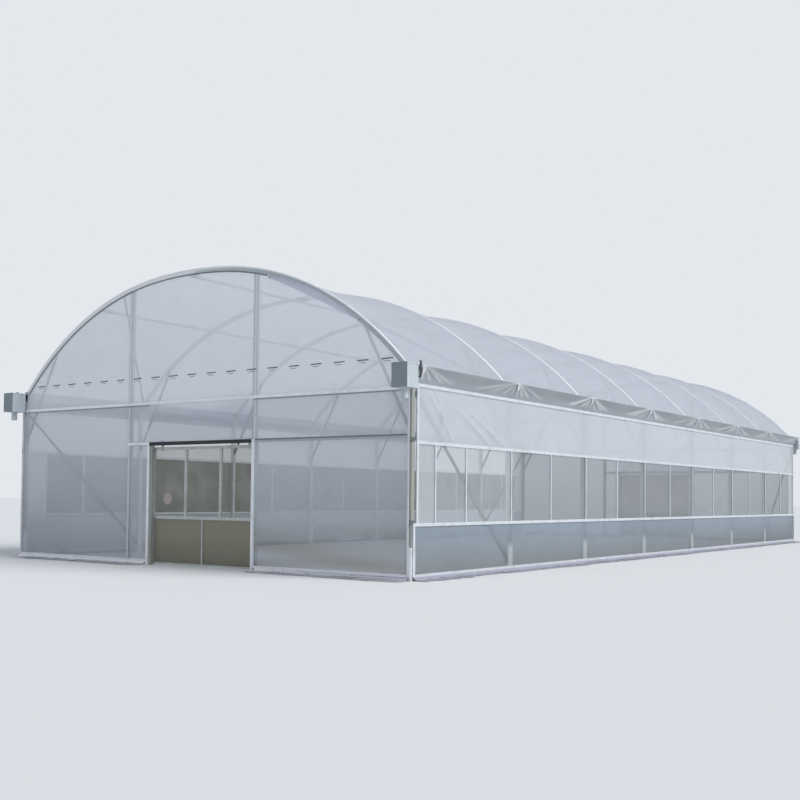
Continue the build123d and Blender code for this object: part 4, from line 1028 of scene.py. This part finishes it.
# Pale bands over the studs are painted highlights; dark lines at stud edges, head rail and eaves, the strip
# beside the jamb, and each sheet's darkening downwards are painted shade.
gable_film = film("gable_polythene", "#F5F6FC", 0.72, back_light=0.12, crease=0.12,
                  lower=("#C6CBD4", 2.55, 3.1), line=[(on_studs, "#DFE3EC"), (stud_edges, "#AEB5C0")])
gable_wall_film = film("gable_wall_polythene", "#DFE2E8", 0.76, back_light=0.45, crease=0.2,
                       lower=("#B4BBC1", 0.1, 2.7), fold="#8C826F",
                       line=[(by_jamb, "#BEC5CD"), (on_studs, "#CFD6DC"), (on_head_rail, "#A6AEB6"),
                             (head_rail_edge, "#6F777F"), (under_eaves, "#8B929B")])


def gable_relief(x, z):
    """How far a gable's film stands out: 7 mm of uneven waves that die away at the studs, under
    the arch and at the clamped edges."""
    at_studs = np.clip(np.abs(np.abs(x) - stud_x) / 0.35, 0, 1) ** 0.7
    under_arch = np.clip((arch(arch_angle(x, under_film), under_film)[1] - z) / 0.3, 0, 1)
    at_edge = np.clip((film_edge - 0.01 - np.abs(x)) / 0.3, 0, 1) * under_arch
    at_rails = np.clip(np.abs(z - eaves_z) / 0.3, 0, 1) * np.clip(np.abs(z - head_z) / 0.2, 0, 1)
    return 0.007 * (0.5 + 0.45 * waves(x, z, 61, 9, 0.6, 2.8)) * at_studs * at_edge * at_rails


def gable_patch(x, low, high, rows):
    """The part of a gable's film over the places x, between a low and a high edge."""
    share = np.linspace(0, 1, rows)[None, :]
    x = x[:, None] + 0 * share
    z = low + (high - low) * share + 0 * x
    return np.stack([x, -(film_y + gable_relief(x, z)), z], -1)


across = np.concatenate([np.linspace(-film_edge, film_edge, 160), [-foot_x, foot_x], doorway])
across = np.unique(np.round(across, 5))
inner = across[np.abs(across) <= foot_x + 1e-6]
arch_top = arch(arch_angle(inner, under_film), under_film)[1][:, None]
rise = arch_top[:, 0] - post_top
arch_area = float(np.sum((rise[1:] + rise[:-1]) / 2 * np.diff(inner))) + 2 * film_edge * (post_top - eaves_z)
arch_area += (doorway[1] - doorway[0]) * (eaves_z - head_z)
over_door = across[(across >= doorway[0] - 1e-6) & (across <= doorway[1] + 1e-6)]
# Brownish streaks are painted up the lower part of both walls, most on the right one.
brown_streak_shares = (0.1, 0.85)
for end, word in ((1, "front"), (-1, "back")):
    patches = [gable_patch(inner, post_top, arch_top, 41), gable_patch(across, eaves_z, post_top, 5),
               gable_patch(over_door, head_z, eaves_z, 15)]
    sheet = surface(f"{word}_gable_sheet", [turned(patch, y=end) for patch in patches])
    dress(sheet, gable_film)
    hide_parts(f"{word}_gable_film")
    walls = [gable_patch(np.linspace(-film_edge, doorway[0], 75), 0.0, eaves_z, 61),
             gable_patch(np.linspace(doorway[1], film_edge, 64), 0.0, eaves_z, 61)]
    soil = []
    for patch, share in zip(walls, brown_streak_shares):
        x, z = patch[..., 0], patch[..., 2]
        bands = 0.6 + 0.4 * waves(x * 0.12, z, 71, 7, 0.18, 0.5)
        soil.append(share * np.clip(bands, 0, 1) * np.clip(1 - z / 0.85, 0, 1) ** 0.7)
    soil = soil if end > 0 else [part[::-1] for part in soil]
    sheet = surface(f"{word}_wall_sheets", [turned(patch, y=end) for patch in walls], paint=soil)
    dress(sheet, gable_wall_film)
    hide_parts(f"{word}_wall_films")

# The print on the front gable's film: a row of plain dashes above the eaves, each over a thin
# line, in grey ink that has rubbed thin in spots of 25 mm. Each dash rises by 2 mm in 100.
ink, tree, output = new_material("printing_ink")
coords = add(tree, "ShaderNodeTexCoord").outputs["Object"]
worn = add(tree, "ShaderNodeTexNoise", {"Vector": coords, "Scale": 40.0, "Detail": 3.0})
cover = add(tree, "ShaderNodeMapRange", {0: worn.outputs[0], 1: 0.35, 2: 0.6, 3: 0.55, 4: 0.95})
dye = add(tree, "ShaderNodeBsdfDiffuse", {"Color": linear("#55585E")})
clear = add(tree, "ShaderNodeBsdfTransparent")
whole = add(tree, "ShaderNodeMixShader", {0: cover.outputs[0], 1: clear.outputs[0], 2: dye.outputs[0]})
tree.links.new(whole.outputs[0], output.inputs["Surface"])
first_dash, last_dash, dash_count = -4.255, 4.194, 19
dash, thin_line = (-0.02, 0.20, 3.372, 3.392), (0.02, 0.15, 3.338, 3.347)
dashes = []
for start in np.linspace(first_dash, last_dash, dash_count):
    for x0, x1, z0, z1 in (dash, thin_line):
        x, z = np.meshgrid(start + np.linspace(x0, x1, 8), np.array([z0, z1]), indexing="ij")
        z = z + 0.02 * (x - start)
        dashes.append(np.stack([x, -(film_y + 0.0012 + gable_relief(x, z)), z], -1))
dress(surface("printed_dashes", dashes), ink)


# The tails: the walls' polythene runs on past the bottom strips, and lies on the ground
# outside in crumpled folds, nearly opaque and dull with splashed soil.
def tail(start, stop, seed, reach):
    """Grid of (place along the wall, distance out, height). It drops from the strip to the
    ground in its first part, then runs out to an uneven reach. Folds are ridges across it,
    each slanting its own way, highest halfway out."""
    random = np.random.default_rng(seed)
    along = np.linspace(start, stop, int(abs(stop - start) / 0.016))[:, None]
    t = np.array([0, 0.06, 0.13, 0.2, 0.28, 0.36, 0.45, 0.55, 0.65, 0.75, 0.86, 0.94, 1.0])[None]
    width = reach * (1 + 0.28 * waves(along, 0 * along, seed, 14, 0.25, 2.5))
    out = 0.004 + np.clip(t / 0.2, 0, 1) * 0.016 + np.clip((t - 0.13) / 0.87, 0, 1) * width
    fall = 1 - np.clip(t / 0.28, 0, 1)
    height = 0.004 + 0.052 * fall * fall * (3 - 2 * fall)
    folds = np.zeros_like(out)
    for _ in range(int(abs(stop - start) / 0.065)):
        place, slant = random.uniform(start, stop), random.uniform(-1.6, 1.6)
        ridge_width, tall = random.uniform(0.008, 0.020), random.uniform(0.010, 0.034)
        window = np.abs(along[:, 0] - place) < 0.4
        d = along[window] - place - slant * out[window]
        folds[window] += tall * np.exp(-np.abs(d / ridge_width) ** 1.5)
    folds = np.minimum(folds, 0.045)
    height = height + folds * np.clip((t - 0.1) / 0.25, 0, 1) * (1.05 - t) ** 0.5
    return along, out, height


ground_film = film("soiled_polythene", "#B6B6C4", 0.96, back_light=0.2, crease=0.5,
                   lower=("#8F8A83", -0.08, 0.03))
for word, side in (("right", 1), ("left", -1)):
    along, out, height = tail(frame_lines[0], frame_lines[-1], 70, 0.19)
    grid = np.stack([strip_x + out, np.broadcast_to(along, out.shape), height], -1)
    piece = dress(surface(f"{word}_ground_tail", [turned(grid[::-1], x=side)]), ground_film)
beside_door = ((-4.72, -1.06, 80), (1.62, 4.72, 81))
for word, end in (("front", 1), ("back", -1)):
    grids = []
    for start, stop, seed in beside_door:
        along, out, height = tail(start, stop, seed, 0.27)
        grids.append(turned(np.stack([np.broadcast_to(along, out.shape), strip_y - out, height], -1), y=end))
    piece = dress(surface(f"{word}_ground_tails", grids), ground_film)

# The doors: leaves of galvanised box section, hung from wheels on a track, that slide behind
# the gable. Each has three panes of dark olive mesh over two panels of olive film, which is
# dense, half matt, and darker towards the ground.
finish(galvanised, "door_tracks", "front_door_hangers", "back_door_hangers",
       "front_door_frame", "back_door_frame")
door_cloth = mesh_cloth("olive_insect_mesh", "#838374", 0.30, 0.54, across=0, through=0.15)
back_cloth = mesh_cloth("dusty_olive_mesh", "#827D76", 0.66, 0.92, across=0, through=0.3)
olive = film("olive_polythene", "#93917E", 0.97, back_light=0.25, crease=0.18,
             lower=("#6F6D5C", -0.2, 0.6))
leaf_low, leaf_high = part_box("front_door_frame")
leaf_y = (leaf_low[1] + leaf_high[1]) / 2
third = (leaf_high[0] - leaf_low[0]) / 3
rail, divider = 0.05, 0.026
pane_low, pane_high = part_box("front_door_mesh")[0][2], leaf_high[2] - rail
panel_low, panel_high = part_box("front_door_panels")[0][2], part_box("front_door_panels")[1][2]


def pane(x0, x1, z0, z1, depth, seed, columns=41, rows=41):
    """A flat pane in the leaf, pushed out by depth * uneven waves that die at its edges."""
    x, z = np.meshgrid(np.linspace(x0, x1, columns), np.linspace(z0, z1, rows), indexing="ij")
    hold = np.sin(math.pi * (x - x0) / (x1 - x0)) * np.sin(math.pi * (z - z0) / (z1 - z0))
    return np.stack([x, leaf_y - depth * hold * (0.6 + waves(x, z, seed, 9, 0.15, 0.9)), z], -1)


uprights = [leaf_low[0] + rail / 2, leaf_low[0] + third, leaf_low[0] + 2 * third, leaf_high[0] - rail / 2]
panes = [pane(a + rail / 2, b - rail / 2, pane_low, pane_high, 0.003, 90 + i)
         for i, (a, b) in enumerate(zip(uprights, uprights[1:]))]
centre_x = (leaf_low[0] + leaf_high[0]) / 2
panels = [pane(leaf_low[0] + rail, centre_x - divider / 2, panel_low, panel_high, 0.006, 95),
          pane(centre_x + divider / 2, leaf_high[0] - rail, panel_low, panel_high, 0.006, 96)]
for word, end in (("front", 1), ("back", -1)):
    cloth = surface(f"{word}_door_cloth", [turned(grid, y=end) for grid in panes])
    dress(cloth, door_cloth if end > 0 else back_cloth, f"{word}_door")
    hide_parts(f"{word}_door_mesh")
    sheet = surface(f"{word}_door_sheets", [turned(grid, y=end) for grid in panels])
    dress(sheet, olive, f"{word}_door")
    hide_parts(f"{word}_door_panels")

# A round plate with a raised rim, left blank, on the first pane of the front leaf: pressed
# steel, enamelled brownish grey, which has faded in spots of 30 mm but keeps its gloss.
enamel, tree, output = new_material("enamelled_steel")
coords = add(tree, "ShaderNodeTexCoord").outputs["Object"]
fade = add(tree, "ShaderNodeTexNoise", {"Vector": coords, "Scale": 30.0, "Detail": 3.0})
tone = add(tree, "ShaderNodeMix", {0: fade.outputs[0], 6: linear("#B9ADA8"), 7: linear("#958B86")},
           data_type="RGBA")
glaze = add(tree, "ShaderNodeBsdfPrincipled", {"Base Color": tone.outputs[2], "Roughness": 0.35})
tree.links.new(glaze.outputs[0], output.inputs["Surface"])
disc_x, disc_y, disc_z = -0.600, leaf_y - 0.004, 1.195
turn_by = np.linspace(2 * math.pi, 0, 41)[None, :]
radius = np.array([0.0, 0.098, 0.100, 0.108, 0.110, 0.110])[:, None]
raised = np.array([0.0040, 0.0040, 0.0052, 0.0052, 0.0040, 0.0010])[:, None]
disc = np.stack([disc_x + radius * np.cos(turn_by), disc_y - raised + 0 * turn_by,
                 disc_z + radius * np.sin(turn_by)], -1)
dress(surface("blank_disc", [disc]), enamel, "front_door")
